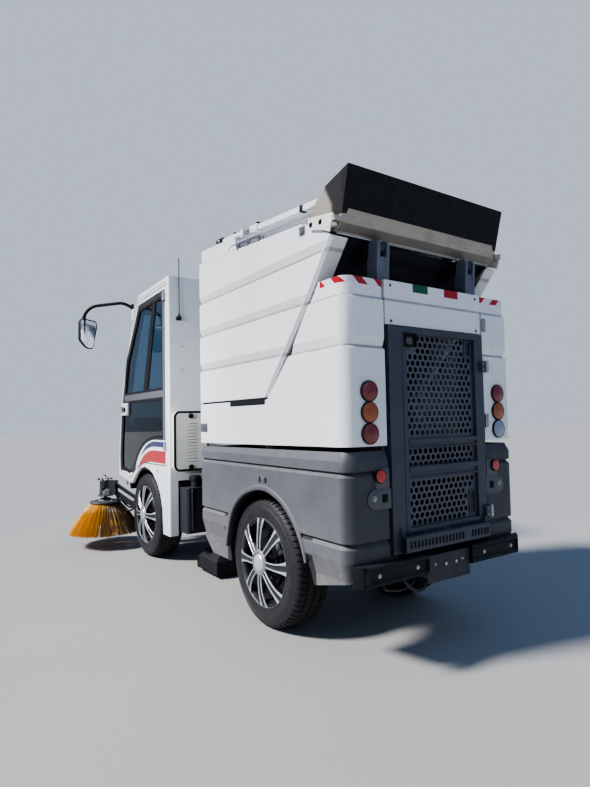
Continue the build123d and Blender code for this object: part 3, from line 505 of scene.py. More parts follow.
def hood_finish():
    """sheet steel hood: black above the first fold, brushed stainless below it and on the side plates; painted shade
    darkens the underside and blackens the side plates' rear part, and a painted highlight runs along the lower lip
    """
    m = metal("stainless", (0.50, 0.455, 0.375), (0.38, 0.345, 0.29), 0.36, (1, 0.05, 1), 0.8)
    xr = m.xr()
    cloud = m.noise(4.5, 5, 0.6, 0.6)
    stain = m.noise(13, 6, 0.7, 0.4, lo=0.55, hi=0.78)
    base = m.mix(m.f("MULTIPLY", cloud, 0.5), m.base, (0.30, 0.285, 0.255))
    base = m.mix(m.f("MULTIPLY", stain, 0.5), base, (0.16, 0.145, 0.125))
    # painted shade: the downward-facing band below the lower fold darker
    underside_shade = m.both(m.range(m.z, 1.776, 1.770), m.range(m.ay, 0.480, 0.4815, 1, 0))
    base = m.mix(m.f("MULTIPLY", underside_shade, 0.55), base, (0.13, 0.125, 0.115))
    # the black area: the rear sheet above its fold, dipping at the outer corners
    fold = m.mixf(m.range(m.ay, 0.458, 0.470), 1.8275, 1.792)
    sheet = m.both(m.range(m.f("SUBTRACT", m.z, fold), -0.0008, 0.0008),
                   m.range(xr, 0.036, 0.037, 1, 0))
    # painted shade: the side plate turns black towards its rear edge, where it curves away from the light
    edge = m.f("ADD", 0.092, m.f("MULTIPLY", m.f("MAXIMUM", m.f("SUBTRACT", m.z, 1.86), 0.0), 0.52))
    plate = m.both(m.range(m.ay, 0.480, 0.4815), m.range(m.ay, 0.5275, 0.5265), m.range(m.z, 1.800, 1.806))
    shade = m.both(plate, m.range(m.f("SUBTRACT", xr, edge), 0.034, -0.004, smooth=True))
    bracket = m.above(m.ay, 0.5265)
    base = m.mix(bracket, base, m.mix(m.noise(9, 4), (0.74, 0.74, 0.72), (0.62, 0.62, 0.60)))
    black_c = m.mix(m.noise(40, 4), (0.006, 0.006, 0.008), (0.013, 0.013, 0.016))
    base = m.mix(m.f("MULTIPLY", shade, 0.98), base, black_c)
    base = m.mix(sheet, base, black_c)
    # painted highlight along the lower lip's edge
    rim = m.both(m.range(m.z, 1.753, 1.751), m.above(xr, 0.078))
    base = m.mix(m.f("MULTIPLY", rim, 0.9), base, (0.62, 0.60, 0.56))
    # the rear sheet's black paint, the bracket and the painted shade on the side plate are all made not metallic
    paint = m.either(sheet, shade, bracket)
    m.set(Base_Color=base, Metallic=m.mixf(paint, 0.55, 0.0),
          Roughness=m.mixf(paint, m.f("ADD", m.rough, 0.02), m.mixf(bracket, 0.95, 0.45)))
    return m


hood_steel = hood_finish()


def lens(name, colour, deep, cells_scale=260.0):
    """coloured lamp lens with a moulded prism pattern"""
    m = Mat(name)
    d = m.cells(cells_scale)
    ring = m.noise(30, 2)
    m.set(Base_Color=m.mix(m.f("MULTIPLY", d, 1.2, clamp=True), deep, m.mix(ring, colour, tuple(c * 0.8 for c in colour))),
          Roughness=m.range(m.noise(20, 3), 0, 1, 0.10, 0.20), Coat_Weight=0.8, Coat_Roughness=0.05,
          Normal=m.bump(d, 0.0012, 0.5))
    return m


lens_red = lens("lens_red", (0.25, 0.008, 0.015), (0.100, 0.003, 0.007))
lens_amber = lens("lens_amber", (0.42, 0.088, 0.006), (0.20, 0.034, 0.004))
lens_clear = lens("lens_clear", (0.36, 0.41, 0.48), (0.10, 0.12, 0.16))
reflex_red = lens("reflex_red", (0.62, 0.025, 0.018), (0.30, 0.008, 0.008), 420.0)
lens_white = lens("lens_headlamp", (0.70, 0.72, 0.75), (0.42, 0.44, 0.48), 120.0)


def glass_finish(name, tint, rough=0.0, dirt=0.10):
    m = Mat(name)
    haze = m.both(m.noise(7, 6, 0.7, lo=0.45, hi=0.85), m.noise(60, 4, lo=0.3, hi=0.8))
    m.set(Base_Color=m.mix(m.f("MULTIPLY", haze, dirt), tint, (0.42, 0.42, 0.40)), IOR=1.48, Transmission_Weight=1.0,
          Roughness=m.range(haze, 0, 1, rough, rough + 0.10),
          Normal=m.bump(m.n("ShaderNodeTexNoise", {"Vector": m.o, "Scale": 2.2, "Detail": 1}).outputs[0], 0.002, 0.04))
    return m


def pane_finish():
    """door pane: green-grey tint"""
    m = glass_finish("glass_door", (0.27, 0.36, 0.37))
    # painted reflection: the upper pane tinted sky blue
    sky_reflection = m.range(m.z, 1.185, 1.195)
    tint = m.mix(sky_reflection, (0.125, 0.185, 0.195), (0.33, 0.52, 0.66))
    haze = m.both(m.noise(7, 6, 0.7, lo=0.45, hi=0.85), m.noise(60, 4, lo=0.3, hi=0.8))
    m.set(Base_Color=m.mix(m.f("MULTIPLY", haze, 0.12), tint, (0.42, 0.42, 0.40)))
    return m


glass_door = pane_finish()
glass_front = glass_finish("glass_front", (0.66, 0.74, 0.74))
mirror_glass = metal("mirror_glass", (0.60, 0.64, 0.68), (0.55, 0.59, 0.63), 0.07, amount=0.1, bump=0.00001)


def fabric():
    """grey seat cloth: a fine woven grid with mottled colour and a worn middle"""
    m = Mat("seat_fabric")
    warp = m.f("SINE", m.f("MULTIPLY", m.y, 2900.0))
    weft = m.f("SINE", m.f("MULTIPLY", m.f("ADD", m.x, m.z), 2900.0))
    weave = m.f("MULTIPLY", m.f("ADD", warp, weft), 0.5)
    base = m.mix(m.range(weave, -1, 1), (0.030, 0.032, 0.038), (0.062, 0.065, 0.075))
    base = m.mix(m.f("MULTIPLY", m.noise(240, 3), 0.35), base, (0.10, 0.105, 0.12))
    worn = m.both(m.range(m.ay, 0.15, 0.05, smooth=True), m.noise(9, 4))
    base = m.mix(m.f("MULTIPLY", worn, 0.4), base, (0.12, 0.125, 0.135))
    m.set(Base_Color=base, Roughness=m.mixf(worn, 0.92, 0.8), Normal=m.bump(weave, 0.0005, 0.6), Sheen_Weight=0.25,
          Sheen_Roughness=0.4)
    return m


seat_cloth = fabric()


def bristle_finish():
    """orange plastic bristles, each strand its own tone, browner and dirtier towards the root and the tips; painted
    shade darkens the side towards the body
    """
    m = Mat("bristles")
    tone = m.n("ShaderNodeAttribute", attribute_name="tone").outputs["Fac"]
    base = m.mix(tone, (0.60, 0.240, 0.012), (0.95, 0.52, 0.050))
    pale = m.range(tone, 0.86, 0.98)
    base = m.mix(m.f("MULTIPLY", pale, 0.7), base, (0.92, 0.68, 0.24))
    brown = m.range(tone, 0.16, 0.06)
    base = m.mix(m.f("MULTIPLY", brown, 0.85), base, (0.17, 0.055, 0.012))
    root = m.both(m.range(m.z, 0.26, 0.345), m.noise(60, 3))
    base = m.mix(m.f("MULTIPLY", root, 0.5), base, (0.20, 0.065, 0.015))
    tip = m.both(m.range(m.z, 0.17, 0.105), m.noise(70, 3))
    base = m.mix(m.f("MULTIPLY", tip, 0.45), base, (0.34, 0.22, 0.10))
    # painted shade: the strands on the side towards the wheel and body darker
    inner = m.f("SUBTRACT", m.f("MULTIPLY", m.f("SUBTRACT", m.xr(), 3.030), -0.55), m.f("MULTIPLY", m.f("SUBTRACT", m.ay, 0.600), 0.83))
    inner = m.both(m.range(m.f("ADD", inner, m.f("MULTIPLY", tone, 0.05)), 0.00, 0.09, smooth=True), m.noise(16, 4, lo=0.15, hi=0.5))
    base = m.mix(m.f("MULTIPLY", inner, 0.86), base, (0.085, 0.040, 0.018))
    m.set(Base_Color=base, Roughness=m.range(m.noise(90, 3), 0, 1, 0.38, 0.55),
          Normal=m.bump(m.n("ShaderNodeTexNoise", {"Vector": m.scaled(1, 1, 0.1), "Scale": 500}).outputs[0], 0.0003, 0.5))
    return m


bristle_mat = bristle_finish()


def rods_finish():
    """white square tube with a bright rod where it enters the barrel"""
    m = gloss_white("white_levers")
    rod = m.above(m.xr(), 0.7865)
    m.set(Base_Color=m.mix(rod, m.base, (0.62, 0.63, 0.65)), Metallic=rod, Roughness=m.mixf(rod, m.rough, 0.18))
    return m


rods_white = rods_finish()


# =====================================================================
# geometry helpers: every one returns (vertices, faces)
# =====================================================================
def take(bm):
    bm.verts.index_update()
    out = [v.co.copy() for v in bm.verts], [[v.index for v in f.verts] for f in bm.faces]
    bm.free()
    return out


def prism(points, vec, r=1.0, seg=2):
    """polygon of points pushed along vec, its edges rounded by r millimetres"""
    bm = bmesh.new()
    face = bm.faces.new([bm.verts.new(p) for p in points])
    got = bmesh.ops.extrude_face_region(bm, geom=[face])
    bmesh.ops.translate(bm, verts=[g for g in got["geom"] if isinstance(g, bmesh.types.BMVert)], vec=vec)
    bmesh.ops.recalc_face_normals(bm, faces=bm.faces[:])
    if r > 0:
        sharp = [e for e in bm.edges if e.is_manifold and e.calc_face_angle(0) > 0.35]
        bmesh.ops.bevel(bm, geom=sharp, offset=r / 1000, segments=seg, profile=0.5, affect="EDGES", clamp_overlap=True)
    return take(bm)


def block(x, y, z, r=1.5, seg=2):
    pts = [P(x[0], y[0], z[0]), P(x[1], y[0], z[0]), P(x[1], y[1], z[0]), P(x[0], y[1], z[0])]
    return prism(pts, Vector((0, 0, (z[1] - z[0]) / 1000)), r, seg)


def side_plate(outline, y0, y1, r=1.5, seg=2):
    """outline of x and z, from y0 to y1"""
    return prism([P(x, y0, z) for x, z in outline], Vector((0, (y1 - y0) / 1000, 0)), r, seg)


def back_plate(outline, x0, x1, r=1.5, seg=2):
    """outline of y and z, from x0 to x1"""
    return prism([P(x0, y, z) for y, z in outline], Vector(((x1 - x0) / 1000, 0, 0)), r, seg)


def axes(w):
    w = Vector(w).normalized()
    a = Vector((0, 0, 1)) if abs(w.z) < 0.9 else Vector((1, 0, 0))
    u = a.cross(w).normalized()
    return u, w.cross(u), w


def turned(profile, origin, axis, n=32, loop=False, wave=None):
    """profile of (radius, height) in millimetres turned about the axis through origin"""
    u, v, w = axes(axis)
    verts, ring = [], []
    for k, (r, h) in enumerate(profile):
        if r < 1e-6:
            ring.append([len(verts)] * n)
            verts.append(origin + w * (h / 1000))
        else:
            ring.append(list(range(len(verts), len(verts) + n)))
            for i in range(n):
                a = 2 * math.pi * i / n
                rr = r + (wave(i, k) if wave else 0)
                verts.append(origin + w * (h / 1000) + (u * math.cos(a) + v * math.sin(a)) * (rr / 1000))
    faces = []
    pairs = list(zip(ring[:-1], ring[1:])) + ([(ring[-1], ring[0])] if loop else [])
    for p, q in pairs:
        for i in range(n):
            j = (i + 1) % n
            f = [p[i], p[j], q[j], q[i]]
            f = [a for k, a in enumerate(f) if a not in f[:k]]
            if len(f) > 2:
                faces.append(f)
    return verts, faces


def rod(p, q, r, n=20, c=1.0):
    """round bar from p to q with chamfered ends"""
    length = (q - p).length * 1000
    return turned([(0, 0), (r - c, 0), (r, c), (r, length - c), (r - c, length), (0, length)], p, q - p, n)


def loft(loops, cap=True, closed=False):
    n = len(loops[0])
    verts = [p for loop in loops for p in loop]
    faces = []
    last = len(loops) if closed else len(loops) - 1
    for k in range(last):
        a, b = k * n, ((k + 1) % len(loops)) * n
        for i in range(n):
            j = (i + 1) % n
            faces.append([a + i, a + j, b + j, b + i])
    if cap and not closed:
        faces.append(list(range(n))[::-1])
        faces.append([(len(loops) - 1) * n + i for i in range(n)])
    return verts, faces


def tube(points, r, n=12, cap=True, inner=None):
    """round tube along points; r is millimetres or a function of the share of the length"""
    pts = [Vector(p) for p in points]
    dirs = []
    for i in range(len(pts)):
        a, b = pts[max(i - 1, 0)], pts[min(i + 1, len(pts) - 1)]
        dirs.append((b - a).normalized())
    u = axes(dirs[0])[0]
    loops = []
    for i, p in enumerate(pts):
        u = (u - dirs[i] * u.dot(dirs[i])).normalized()
        v = dirs[i].cross(u)
        rr = (r(i / (len(pts) - 1)) if callable(r) else r) / 1000
        loops.append([p + (u * math.cos(2 * math.pi * k / n) + v * math.sin(2 * math.pi * k / n)) * rr for k in range(n)])
    if inner is not None:
        back = []
        for loop, p in zip(loops, pts):
            back.append([p + (q - p).normalized() * inner / 1000 for q in loop])
        return loft(loops + back[::-1], closed=True)
    return loft(loops, cap)


def flow(points, step=12.0):
    """smooth line through a held hose's points"""
    pts = [Vector(p) for p in points]
    pts = [pts[0] * 2 - pts[1]] + pts + [pts[-1] * 2 - pts[-2]]
    out = []
    for i in range(1, len(pts) - 2):
        a, b, c, d = pts[i - 1:i + 3]
        k = max(3, int((c - b).length * 1000 / step))
        for j in range(k):
            t = j / k
            out.append(0.5 * ((2 * b) + (c - a) * t + (2 * a - 5 * b + 4 * c - d) * t * t + (3 * b - a - 3 * c + d) * t ** 3))
    out.append(pts[-2])
    return out


def bend(points, radius, step=0.06):
    """straight runs with tangent arcs of a radius in millimetres"""
    pts = [Vector(p) for p in points]
    out = [pts[0]]
    for a, b, c in zip(pts, pts[1:], pts[2:]):
        d1, d2 = (a - b).normalized(), (c - b).normalized()
        half = d1.angle(d2) / 2
        cut = min((radius / 1000) / math.tan(half), (a - b).length * 0.48, (c - b).length * 0.48)
        rr = cut * math.tan(half)
        p, q = b + d1 * cut, b + d2 * cut
        mid = b + (d1 + d2).normalized() * (rr / math.sin(half))
        k = max(4, int((math.pi - 2 * half) / step))
        u, v = p - mid, q - mid
        full = u.angle(v)
        for i in range(k + 1):
            t = i / k
            out.append(mid + (u * math.sin((1 - t) * full) + v * math.sin(t * full)) / math.sin(full))
    out.append(pts[-1])
    return out


def evenly(points, step):
    """points every step millimetres along a line"""
    out, rest = [points[0]], 0.0
    step /= 1000
    for a, b in zip(points, points[1:]):
        length = (b - a).length
        t = step - rest
        while t < length:
            out.append(a + (b - a) * (t / length))
            t += step
        rest = length - (t - step)
    out.append(points[-1])
    return out


def bolt(p, axis, r=5.0, h=4.0):
    """hexagon head on a washer"""
    u, v, w = axes(axis)
    a = turned([(0, 0), (r * 1.45, 0), (r * 1.55, 0.4), (r * 1.45, 1.2), (0, 1.2)], p, axis, 20)
    b = turned([(0, 1.2), (r, 1.2), (r, h), (r * 0.86, h + 0.9), (0, h + 0.9)], p, axis, 6)
    return [a, b]


def screw(p, axis, r=5.0, h=2.6):
    """pan head with a socket"""
    return turned([(0, h - 1.6), (r * 0.42, h - 1.6), (r * 0.42, h + 0.1), (r * 0.7, h), (r * 0.94, h * 0.6), (r, 0),
                   (0, 0)], p, axis, 20)


class Piece:
    """several solids joined as one named piece"""

    def __init__(self, name, body, mats, slot):
        self.name, self.body, self.slot = name, body, slot
        self.mats = [m.m for m in (mats if isinstance(mats, (list, tuple)) else [mats])]
        self.v, self.f, self.i = [], [], []

    def add(self, geo, mat=0):
        for g in (geo if isinstance(geo, list) else [geo]):
            k = len(self.v)
            self.v += [tuple(p) for p in g[0]]
            self.f += [[k + a for a in q] for q in g[1]]
            self.i += [mat] * len(g[1])
        return self

    def make(self, angle=38, replaces=(), smooth=True):
        me = bpy.data.meshes.new(self.name)
        me.from_pydata(self.v, [], self.f)
        for m in self.mats:
            me.materials.append(m)
        me.polygons.foreach_set("material_index", self.i)
        bm = bmesh.new()
        bm.from_mesh(me)
        bmesh.ops.recalc_face_normals(bm, faces=bm.faces[:])
        bm.to_mesh(me)
        bm.free()
        me.polygons.foreach_set("use_smooth", [smooth] * len(me.polygons))
        me.update()
        if smooth:
            me.set_sharp_from_angle(angle=math.radians(angle))
        ob = bpy.data.objects.new(self.name, me)
        scene.collection.objects.link(ob)
        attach(ob, self.body)
        if replaces:
            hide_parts(*replaces)
        return ob


# =====================================================================
# CAD nodes that stay: finish and rounded edges
# =====================================================================
# columns: node, material, edge radius in mm
KEPT = [
    ("hopper_side_panels", panels_white, 2.0), ("hopper_tub", tub_grey, 1.0), ("hopper_lid", white, 2.0),
    ("hood_barrels", white, 1.5), ("hood_rods", rods_white, 1.5), ("discharge_hood", hood_steel, 0.8),
    ("body_covers", covers_white, 3.0), ("lower_skirts", skirt, 2.5), ("hopper_posts", post_grey, 1.2),
    ("rear_door_frame", door_grey, 3.0), ("engine_block", iron, 14.0),
    ("chassis_frame", frame_black, 2.0), ("front_axle", iron, 2.0), ("rear_axle", iron, 2.0),
    ("left_knuckle", iron, 2.0), ("right_knuckle", iron, 2.0), ("cab_frame", cab_paint, 2.5),
    ("cab_rear_wall", pale_grey, 2.0), ("cab_floor", interior, 3.0), ("windscreen", glass_front, 0.6),
    ("cab_rear_cover", cream, 5.0), ("fuel_tank", tank_black, 8.0), ("front_bumper", black, 2.0),
    ("left_door_frame", door_paint, 2.0), ("right_door_frame", door_paint, 2.0),
    ("left_door_glass", glass_door, 0.6), ("right_door_glass", glass_door, 0.6), ("antenna", black, 0.0),
    ("suction_nozzle", nozzle_black, 2.0), ("brush_brackets", steel_grey, 1.0),
    ("left_brush_arm", steel_grey, 1.5), ("right_brush_arm", steel_grey, 1.5),
    ("left_brush_stay", steel_grey, 1.5), ("right_brush_stay", steel_grey, 1.5),
    ("left_brush_holder", steel_grey, 2.0), ("right_brush_holder", steel_grey, 2.0),
    ("front_left_rim", black, 1.0), ("front_right_rim", black, 1.0), ("rear_left_rim", black, 1.0),
    ("rear_right_rim", black, 1.0)]
for name, mat, r in KEPT:
    ob = NODES[name]
    if not ob.material_slots:
        ob.data.materials.append(mat.m)
    for s in ob.material_slots:
        s.material = mat.m
    weld = ob.modifiers.new("weld", "WELD")
    weld.merge_threshold = 0.00002
    if r:
        bev = ob.modifiers.new("edges", "BEVEL")
        bev.width, bev.segments, bev.limit_method = r / 1000, 2, "ANGLE"
        bev.angle_limit, bev.use_clamp_overlap, bev.harden_normals = math.radians(32), True, False
        bev.miter_outer = "MITER_ARC"
    wn = ob.modifiers.new("normals", "WEIGHTED_NORMAL")
    wn.weight, wn.keep_sharp = 80, True

# =====================================================================
# wheels: tyres with tread, and covers with eight double spokes
# =====================================================================
PITCHES = 64
# columns: distance from the outer face, radius; from the outer bead to the inner one
TYRE = [(19, 190.8), (13, 191.5), (10.5, 196), (9.6, 203), (9.0, 209), (6.8, 213.5), (4.4, 218), (2.6, 226), (1.2, 236),
        (0.5, 245), (1.0, 253), (2.0, 259), (2.9, 262.5), (1.9, 263.5), (3.0, 266), (3.6, 267), (5.4, 274), (7.6, 281),
        (9.4, 286), (11.6, 291.5), (14.6, 296.5), (19, 301), (26, 304.4), (34, 306), (44, 306.6), (51, 306.9),
        (51.6, 300), (59.4, 300), (60, 307.1), (70, 307.3), (80, 307.4), (87, 307.5), (91.5, 307.5), (92.1, 300.5),
        (97.5, 300.5)]
TYRE = TYRE + [(195 - h, r) for h, r in reversed(TYRE[:-1])] + [(160, 186), (35, 186)]
SAMPLES = (0.0, 0.36, 0.74, 0.77, 0.97)


def tyre_mesh(xw, y_out, s):
    verts, faces = [], []
    rows = PITCHES * len(SAMPLES)
    for p in range(PITCHES):
        for q, t in enumerate(SAMPLES):
            for h, r in TYRE:
                cut = 0.0
                lean = 0.0
                if r > 280:
                    side = min(h, 195 - h)
                    lean = 0.030 * math.sin(min(side, 60) / 60 * 1.5) * (1 if h < 97 else -1)
                    if q >= 3 and r > 290:
                        if side <= 50:
                            cut = 5.5 if side > 14 else 3.2
                        elif 60 <= side <= 88:
                            cut = 2.4
                elif 247 < r < 262 and q in (1, 3):
                    h = h + 0.7 if h < 97 else h - 0.7
                a = 2 * math.pi * (p + t) / PITCHES + lean
                rr = (r - cut) / 1000
                c = P(xw, s * (y_out - h), R_TYRE)
                verts.append(c + Vector((math.cos(a) * rr, 0, math.sin(a) * rr)))
    m = len(TYRE)
    for i in range(rows):
        j = (i + 1) % rows
        for k in range(m):
            n = (k + 1) % m
            faces.append([i * m + k, i * m + n, j * m + n, j * m + k])
    return verts, faces


def wheel_cover(xw, y_out, s, turn, name):
    axis = Vector((0, s, 0))
    c = P(xw, s * y_out, R_TYRE)

    def at(a, r, t, d):
        """radius r along the spoke at angle a, t across it and d outwards"""
        er = Vector((math.cos(a), 0, math.sin(a)))
        et = Vector((-math.sin(a), 0, math.cos(a)))
        return c + er * (r / 1000) + et * (t / 1000) + axis * (d / 1000)

    piece = Piece(name, name.replace("_cover", ""), [silver, black, silver_dark, cap_grey, channel_grey], "silver_paint")
    # thin ring that clips over the bead, drum and caliper seen between the spokes
    piece.add(turned([(198, -20), (207, -9.0), (208, -5.4), (209.4, -3.6), (211.4, -4.2), (212.4, -8.0), (209, -13)],
                     c, axis, 72, True), 2)
    piece.add(turned([(60, -48), (60, -40), (104, -40), (112, -36), (118, -36), (122, -40), (122, -48)], c, axis, 48, True), 1)
    for k in range(5):
        a = turn + 0.5 + k * 2 * math.pi / 5
        piece.add(turned([(0, 0), (8, 0), (8, 9), (6, 11), (0, 11)], at(a, 78, 0, -40), axis, 6), 2)
    for a in (turn + 2.55, turn + 0.35):
        piece.add(loft([[at(a, r, t, d) for t, d in ((-26, -48), (26, -48), (26, -36), (14, -31), (-20, -31), (-26, -36))]
                        for r in (112, 120, 142, 150)]), 2)
    for k in range(8):
        a = turn + k * math.pi / 4
        loops = {1: [], -1: []}
        pan = []
        n = 14
        for i in range(n + 1):
            q = i / n
            r = 54 + (209 - 54) * q
            wo = 14.6 + 4.6 * q + 14.5 * q ** 4.2
            wi = wo - (6.0 + 0.8 * q + 13.0 * q ** 5)
            mid = 3.0 * math.sin(math.pi * q) * s
            top = 17.5 - 21.5 * q ** 2.5
            base = top - 7 - 2 * (1 - q)
            for g in (1, -1):
                ts = [(g * (wo - 1.5), base), (g * wo, top - 2.6), (g * (wo - 1.2), top - 0.7), (g * (wo + wi) / 2, top),
                      (g * (wi + 1.2), top - 0.8), (g * wi, top - 3.0), (g * (wi + 0.5), base)]
                loops[g].append([at(a, r, mid + t, d) for t, d in ts])
            pan.append([at(a, r, mid + t, d) for t, d in
                        ((-wi - 0.5, base - 0.5), (-wi - 0.5, top - 4.6), (0, top - 5.6), (wi + 0.5, top - 4.6), (wi + 0.5, base - 0.5))])
        piece.add(loft(loops[1])).add(loft(loops[-1])).add(loft(pan), 4)
    # hub ring with a soft step, and the domed cap
    piece.add(turned([(30, 4), (60, 4), (63, 10), (61, 16.5), (56, 19.5), (51, 19.8), (47, 18.2), (45, 14), (30, 14)],
                     c, axis, 48, True), 3)
    piece.add(turned([(0, 28.2), (10, 27.9), (20, 26.9), (30, 24.6), (38, 21.0), (43, 16.8), (44.6, 12), (44.6, 8), (0, 8)],
                     c, axis, 48))
    # valve
    piece.add(rod(at(turn + 0.39, 168, 0, -20), at(turn + 0.39, 160, 0, 2), 3.2), 1)
    return piece.make(angle=42)


for name, xw, y_out, s in WHEELS:
    body = frame["nodes"][name + "_tyre"].parent.name.split(":")[1]
    t = Piece(name + "_tyre_tread", body, tyre_rubber, "tyre")
    t.add(tyre_mesh(xw, y_out, s)).make(angle=34, replaces=(name + "_tyre",))
    turn = {"front_left": -0.05, "front_right": 0.12, "rear_left": -0.045, "rear_right": 0.2}[name]
    piece_name = body + "_cover"
    wheel_cover(xw, y_out, s, turn, piece_name)

# =====================================================================
# side brushes
# =====================================================================
for side_name, s in (("left", 1), ("right", -1)):
    body = NODES[side_name + "_brush"].parent.name.split(":")[1]
    c = P(3030, 600 * s, 0)
    up = Vector((0, 0, 1))
    disc = Piece(side_name + "_brush_disc", body, [steel_grey, frame_black, zinc], "bristles")
    disc.add(turned([(16, 368), (46, 368), (50, 362), (108, 360), (121, 355), (124, 349), (122, 343), (112, 341),
                     (60, 343), (16, 343)], c, up, 64, True))
    disc.add(turned([(30, 366), (44, 366), (44, 376), (40, 379), (30, 379)], c, up, 32, True), 1)
    for k in range(6):
        a = k * math.pi / 3 + 0.3
        disc.add(bolt(P(3030 + 84 * math.cos(a), 600 * s + 84 * math.sin(a), 361), up, 6, 5), 2)
    disc.make(replaces=(side_name + "_brush",))
    verts, faces, tones = [], [], []
    tufts = []
    for ring, (r0, n) in enumerate(((74, 34), (91, 42), (108, 50))):
        for k in range(n):
            a = 2 * math.pi * (k + 0.33 * ring) / n + rnd.uniform(-0.02, 0.02)
            tufts.append((r0, a, ring, rnd.random()))
    for r0, a0, ring, tuft_tone in tufts:
        for _ in range(32):
            a = a0 + rnd.gauss(0, 0.020)
            rr0 = r0 + rnd.uniform(-5, 5)
            a1 = a0 + rnd.gauss(0, 0.055) + 0.03
            q = rnd.random()
            r1 = 232 + 18 * ring + 20 * q
            r1 = min(r1, 287)
            z1 = 106 + (1 - q) * 4 + rnd.random() ** 2 * 12
            tone = min(1, max(0, 0.55 * tuft_tone + 0.45 * rnd.random() + rnd.gauss(0, 0.10)))
            k = len(verts)
            for i in range(4):
                t = i / 3
                ang = a + (a1 - a) * t
                rad = rr0 + (r1 - rr0) * (t ** 0.92) + 5 * math.sin(math.pi * t)
                z = 345 + (z1 - 345) * t
                w = 1.3 * (1 - 0.35 * t)
                for g in range(3):
                    b = ang + 2 * math.pi * g / 3
                    verts.append(P(3030 + rad * math.cos(ang) + w * math.cos(b), 600 * s + rad * math.sin(ang) + w * math.sin(b), z))
            for i in range(3):
                for g in range(3):
                    h = (g + 1) % 3
                    faces.append([k + i * 3 + g, k + i * 3 + h, k + i * 3 + 3 + h, k + i * 3 + 3 + g])
            faces.append([k + 9, k + 10, k + 11])
            faces.append([k + 2, k + 1, k])
            tones += [tone] * 12
    fit = Piece(side_name + "_brush_mount", NODES[side_name + "_brush_holder"].parent.name.split(":")[1],
                [mint_paint, black, zinc, white, red_cap, steel_grey, hose_black], "dark_grey_paint")
    fit.add(turned([(14, 396), (58, 396), (60, 398), (60, 403), (58, 405), (14, 405)], c, up, 40, True), 5)
    fit.add(prism([P(2974, 548 * s, 404), P(2974, 634 * s, 404), P(2974, 634 * s, 436), P(2974, 612 * s, 456), P(2974, 566 * s, 456),
                   P(2974, 548 * s, 440)], Vector((0.006, 0, 0)), 1.0), 0)
    fit.add(prism([P(2980, 556 * s, 404), P(3040, 556 * s, 404), P(3040, 556 * s, 416), P(2980, 556 * s, 440)],
                  Vector((0, 0.005 * s, 0)), 0.8), 0)
    for y, z in ((562, 418), (620, 418), (590, 446)):
        fit.add(bolt(P(2974, y * s, z), (-1, 0, 0), 5.5, 4), 2)
    fit.add(rod(P(2974, 622 * s, 462), P(2950, 634 * s, 466), 5, 12), 2)
    fit.add(turned([(0, 0), (10, 0), (14, 4), (15, 12), (12, 20), (6, 24), (0, 24)], P(2956, 631 * s, 465), (-0.8, 0.45 * s, 0.15), 20), 1)
    # motor cover, port block and fittings on top
    fit.add(turned([(40, 408), (48.5, 410), (49.5, 414), (49.5, 426), (48, 430), (40, 430)], c, up, 40, True), 5)
    fit.add(turned([(0, 545), (22, 545), (27, 541), (29, 534), (29, 520), (0, 520)], c, up, 32), 1)
    fit.add(block((2990, 3026), sorted((588 * s, 620 * s)), (524, 562), 3.0), 3)
    fit.add(block((2994, 3022), sorted((604 * s, 622 * s)), (556, 572), 3.0), 4)
    for y, z in ((566, 536), (640, 536)):
        fit.add(rod(P(3030, y * s, z), P(3030, (y + (14 if y > 600 else -14)) * s, z), 9, 6), 2)
        fit.add(rod(P(3030, (y + (10 if y > 600 else -10)) * s, z), P(3030, (y + (22 if y > 600 else -22)) * s, z - 3), 8, 14), 6)
    fit.make()
    br = Piece(side_name + "_brush_bristles", body, bristle_mat, "bristles")
    br.add((verts, faces))
    ob = br.make(angle=80)
    attr = ob.data.attributes.new("tone", "FLOAT", "POINT")
    attr.data.foreach_set("value", tones)

